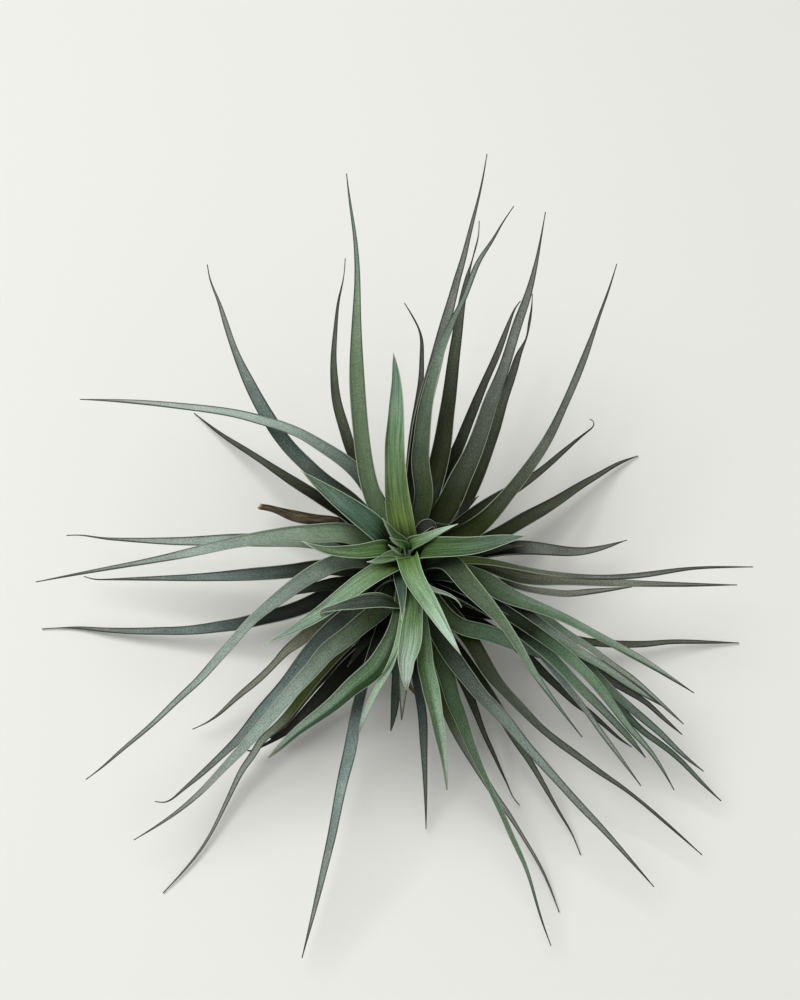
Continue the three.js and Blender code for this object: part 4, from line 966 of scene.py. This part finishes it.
def scaly_leaf_material(name, margin_colour, margin_share, roughness, shine, streak_range, grain_range):
    """A living leaf: its skin colour, streaked along its fibres and grained, dusted with a speckle of
    silver scales that drifts in patches and along the streaks, and with a thin margin, pale or dark,
    the dark one painted shade."""
    material = new_material(name)
    skin, rim, pale = [
        add_node(material, "Attribute", attribute_name=mark) for mark in ("skin", "rim", "pale")
    ]
    place = add_node(material, "TexCoord").outputs["Object"]
    streaks = fibre_noise(material, STREAK_WIDTH_MM, STREAK_LENGTH_MM, 2)
    patches, speckle = [
        add_node(material, "TexNoise", {"Vector": place, "Scale": 1 / (size * MM), "Detail": 2})
        for size in (PATCH_MM, SPECKLE_MM)
    ]
    lights = []
    for noise, spread, (least, most) in (
        (streaks, NOISE_SPREAD, streak_range),
        (patches, NOISE_SPREAD, PATCH_RANGE),
        (speckle, FINE_NOISE_SPREAD, SPECKLE_RANGE),
        (speckle, FINE_NOISE_SPREAD, grain_range),
    ):
        middle = {"Value": noise, "From Min": 0.5 - spread, "From Max": 0.5 + spread}
        lights.append(add_node(material, "MapRange", {**middle, "To Min": least, "To Max": most}))
    streak_light, patch_light, speckle_light, grain_light = lights

    colour = skin
    for shade in (streak_light, grain_light):
        mix = {"Fac": 1, "Color1": colour, "Color2": shade}
        colour = add_node(material, "MixRGB", mix, blend_type="MULTIPLY")
    scales = skin.outputs["Alpha"]
    for shade in (patch_light, streak_light, speckle_light):
        scales = add_node(material, "Math", {0: scales, 1: shade}, operation="MULTIPLY")
    scales.use_clamp = True
    mix = {"Fac": scales, "Color1": colour, "Color2": (*linear(SILVER_COLOUR), 1)}
    dusted = add_node(material, "MixRGB", mix)

    near = {"Value": rim.outputs["Fac"], "From Min": MARGIN_MM[0], "From Max": MARGIN_MM[1]}
    margin = add_node(material, "MapRange", {**near, "To Min": margin_share, "To Max": 0})
    paints = {"Color1": (*linear(SHADED_MARGIN_COLOUR), 1), "Color2": (*linear(margin_colour), 1)}
    margin_paint = add_node(material, "MixRGB", {"Fac": pale.outputs["Fac"], **paints})
    edged = add_node(material, "MixRGB", {"Fac": margin, "Color1": dusted, "Color2": margin_paint})
    relief = add_node(material, "Math", {0: streaks, 1: speckle}, operation="ADD")
    return finished(material, edged, roughness, shine, relief, RELIEF_MM, RELIEF_SHARE)


def under_leaves():
    """The short leaves: a golden angle apart and evenly up the stem, with seeded reach, rise, swerve
    and width, all black as painted shade in the gaps between the other leaves."""
    draw = seeded_draw(UNDER_SEED)
    leaves = []
    for i, foot in enumerate(np.linspace(*UNDER_FOOT_MM, UNDER_LEAVES)):
        angle = i * GOLDEN_ANGLE
        reach = draw(*UNDER_REACH_MM)
        rise = draw(*UNDER_RISE_MM)
        points = root_and_sheath(angle, foot, GROWN_SHEATH_MM)
        points.append(polar(angle, reach * UNDER_BEND["reach"], foot + rise * UNDER_BEND["rise"]))
        swerve = draw(-UNDER_SWERVE, UNDER_SWERVE)
        points.append(polar(angle + swerve, reach, foot + rise))
        leaves.append({"foot": foot, "width": draw(*UNDER_WIDTH_MM), "tone": "black", "points": points})
    return leaves


def grown_grid(leaf, number):
    """One grown leaf, rolled and its two lips uneven by seeded draws, and with no margin within reach
    if it is black, the painted shade of an under leaf."""
    draw = seeded_draw(LIP_SEED + number)
    points = leaf["points"] if "points" in leaf else traced_points(leaf, GROWN_SHEATH_MM)
    usual_share = np.interp(leaf["foot"], DARK_FOOT_SHARE["at_mm"], DARK_FOOT_SHARE["share"])
    foot_share = leaf.get("foot_share", usual_share)
    skin = living_skin(leaf, GROWN_SHEATH_AND_SHADE_COLOUR, foot_share, GROWN_GROOVE_PLACE)
    turn = draw(-GROWN_TURN, GROWN_TURN)
    shape = {
        "fold": leaf.get("fold", GROWN_FOLD),
        "turn": leaf.get("turn", turn),
        "lips": (draw(*GROWN_LIP), draw(*GROWN_LIP)),
        "pale": leaf.get("pale", GROWN_PALE),
    }
    grid = blade_grid(points, leaf["width"], number, skin, rings=72, **shape)
    if leaf["tone"] == "black":
        grid["rim"] += BARE_RIM_MM
    return grid


# Grown leaf: a waxy dark skin under a dull dust of silver scales, its thin margin pale towards the foot
# and dark with painted shade towards the point.
silver_dusted_leaf = scaly_leaf_material(
    "silver_dusted_leaf", "#a8b29d", margin_share=0.75, roughness=0.55, shine=0.08,
    streak_range=(0.91, 1.09), grain_range=(0.76, 1.26),
)
upper_grids = []
lower_grids = []
for i, leaf in enumerate([*GROWN_LEAVES.values(), *under_leaves()]):
    level_grids = upper_grids if leaf["foot"] >= UPPER_FOOT_MM else lower_grids
    level_grids.append(grown_grid(leaf, GROWN_NUMBER + i))
stem_grid = turned_grid(STEM_PROFILE_MM, STEM_RINGS, STEM_AROUND, STEM_COLOUR, STEM_NUMBER)
add_piece("upper_leaves", upper_grids, silver_dusted_leaf, "mature_leaf", "mature_leaves")
add_piece("lower_leaves", lower_grids, silver_dusted_leaf, "mature_leaf", "mature_leaves")
add_piece("green_stem", [stem_grid], silver_dusted_leaf, "mature_leaf", "mature_leaves")

# The heart: the young leaves round the growing tip, still soft and bright green, pleated lengthwise
# with thin pale margins. Their scales are so fine that they only turn the points blue and silver.
TIP_PROFILE_MM = [(2.8, 40.3), (2.6, 41.4), (0.8, 42.6)]
TIP_RINGS = 20
TIP_COLOUR = "#26320f"
TIP_NUMBER = 98
HEART_NUMBER = 200
HEART_SHEATHS_MM = {
    "usual": {"radius": 3.4, "rise": 2.6, "lowest_root": 41.0},
    "bud": {"radius": 1.4, "rise": 2.6, "lowest_root": 41.0},
    "low": {"radius": 5.0, "rise": 2.6, "lowest_root": 24.0},
}
# The young leaves' very feet are dark green, painted shade deep in the bud.
HEART_SHEATH_AND_SHADE_COLOUR = "#161e0a"
HEART_FOOT_SHARE = 0.2
HEART_SHAPE = {
    "fold": 0.24, "taper": 0.85, "belly": 1, "turn": 0, "lips": (0.16, 0.16), "groove": 0.04, "base": 1.05,
    "sheath": 0, "wrap": 0.8, "pale": (2, 3), "rings": 60, "around": 80,
}
# As with the grown leaves, a heart leaf's light, two tones and strips paint light and shade on it.
HEART_LEAVES = {
    "tall": dict(foot=44, width=7.4, tone="tall", light=(1.21, 1.0, 0.95), strips=(1.05, 1.35),
        lips=(0.1, 0.3), held="bud",
        path=[(402, 531, 48, 7.1), (399, 516, 51.5, 7.2), (395.5, 490, 57.5, 6.7), (394.2, 465, 63, 6),
            (394, 440, 68, 5.5), (395.3, 420, 71.5, 4.7), (396, 400, 74.3, 3.8), (396.1, 380, 77, 2.5),
            (394.7, 364, 79, 1.35), (393.4, 353, 80, 0.2)]),
    "blue_left": dict(foot=43, width=7.0, tone="blue", light=1.05, taper=1, belly=1.8,
        path=[(375, 530, 51), (357, 515, 54), (322, 488, 57.5), (301, 471, 58)]),
    "left_low": dict(foot=43, width=5.4, tone="bright", light=(0.68, 0.83, 0.68), taper=1, belly=1.6,
        path=[(386, 550, 49.5), (366, 552, 52.5), (345, 552.5, 53), (322, 549.5, 52.5), (301.5, 541, 53)]),
    "right_wide": dict(foot=43, width=6.8, tone="wide", light=(0.79, 0.64, 0.66), taper=1, belly=2.2,
        strips=(0.85, 1.35),
        path=[(424, 551, 49.5), (441, 549, 52), (473, 547, 54), (505, 540, 53), (527, 536, 52)]),
    "front_right": dict(foot=44, width=6.1, tone="young", fold=0.3, taper=1, belly=2.4, strips=(1.3, 1.35),
        path=[(407, 558, 48), (413, 577, 53), (427, 601, 56), (445, 630, 57.5), (461, 655, 57)]),
    "left_front": dict(foot=42.5, width=5.8, tone="outer", light=(1.0, 1.05, 1.0), taper=1, belly=2.0,
        path=[(392, 566, 48), (376, 574, 51), (351, 591, 52), (323, 612, 49.5), (264, 645, 42)]),
    "front_dark": dict(foot=42.5, width=3.8, tone="blue", light=0.75, foot_share=0.4, taper=1, belly=1.3,
        path=[(400, 577, 47), (402, 595, 49), (401.5, 621, 49.5)]),
    "hooked": dict(foot=31, width=4.6, tone="leafy", light=(0.2, 0.22, 0.4), foot_share=0.4, fold=0.15,
        turn=-40, strips=(4.2, 1), held="low",
        path=[(404, 605, 43, 4.2), (393, 604, 47, 4.2), (380, 601, 50.5, 4.2), (360, 602, 52.7, 3.7),
            (350, 604, 53.2, 3), (340, 606, 53.2, 2.2), (330, 608.5, 52.3, 1.6), (322, 611.5, 50.8, 1),
            (320.5, 615, 49.8, 0.4)]),
    "curl": dict(foot=42.5, width=1.3, tone="silver",
        path=[(434, 590, 47), (449, 595, 47.5), (458, 601.5, 46.5), (461.5, 607.5, 45)]),
    "front": dict(foot=42.5, width=4.6, tone="front", light=(0.5, 0.85, 0.83), foot_share=0.3,
        path=[(414, 606, 48, 4.6), (413, 618, 50, 5), (411.7, 631, 51.3, 5.6), (410, 645, 51.5, 5.8),
            (407.8, 654, 51, 5.3), (406.5, 661, 50.5, 4.5), (406.4, 670, 49.8, 3.65), (406.2, 678, 49, 2.6),
            (406.5, 684, 48.5, 1.6), (406.9, 690, 48, 0.4)]),
    "bud_a": dict(foot=44, width=3.8, tone="bright", light=(1.17, 1.22, 1.08), fold=0.6, taper=1, belly=2,
        held="bud",
        path=[(402, 556, 47), (392, 557.5, 50), (380, 561, 52.5), (367, 562, 54.5)]),
    "bud_b": dict(foot=44, width=3.0, tone="bright", light=0.9, fold=0.5, taper=1, belly=1.8, held="bud",
        path=[(402, 544, 47), (394, 536, 51), (388, 527, 54.5), (382.5, 518.5, 58)]),
    "bud_c": dict(foot=44, width=2.4, tone="bright", light=(1.35, 1.17, 0.99), fold=0.7, taper=1, belly=2,
        held="bud",
        path=[(405, 547, 46.5), (398, 543.5, 49.5), (390, 537.5, 52.5)]),
    "bud_e": dict(foot=44, width=1.4, tone="bright", light=(0.32, 0.4, 0.72), fold=0.7, taper=1, belly=2,
        held="bud",
        path=[(400, 554, 46.5), (394, 549.5, 49.5), (388.5, 545, 51.5)]),
    "bud_d": dict(foot=44, width=4.2, tone="young", light=0.85, fold=0.4, taper=1, belly=1.3,
        strips=(1.2, 1), held="bud",
        path=[(412, 545, 47), (421, 541, 50), (436, 533.5, 52.5), (458, 524, 53.5)]),
}


def heart_grid(leaf, number):
    """One young leaf, its sheath tight in the bud, and wider and lower on the stem for a low one. Its
    shape is the usual one but for what its row states."""
    sheath = HEART_SHEATHS_MM[leaf.get("held", "usual")]
    foot_share = leaf.get("foot_share", HEART_FOOT_SHARE)
    skin = living_skin(leaf, HEART_SHEATH_AND_SHADE_COLOUR, foot_share, GROOVE_PLACE)
    shape = {name: leaf.get(name, usual) for name, usual in HEART_SHAPE.items()}
    return blade_grid(traced_points(leaf, sheath), leaf["width"], number, skin, **shape)


heart_grids = [heart_grid(leaf, HEART_NUMBER + i) for i, leaf in enumerate(HEART_LEAVES.values())]
tip_grid = turned_grid(TIP_PROFILE_MM, TIP_RINGS, STEM_AROUND, TIP_COLOUR, TIP_NUMBER)
# Young leaf: moist, bright and finely pleated, with a thin pale margin.
young_leaf = scaly_leaf_material(
    "young_pleated_leaf", "#b7c9aa", margin_share=0.85, roughness=0.5, shine=0.12,
    streak_range=(0.62, 1.38), grain_range=(0.88, 1.12),
)
add_piece("young_leaves", heart_grids, young_leaf, "heart_leaf", "heart_leaves")
add_piece("growing_tip", [tip_grid], young_leaf, "heart_leaf", "heart_leaves")
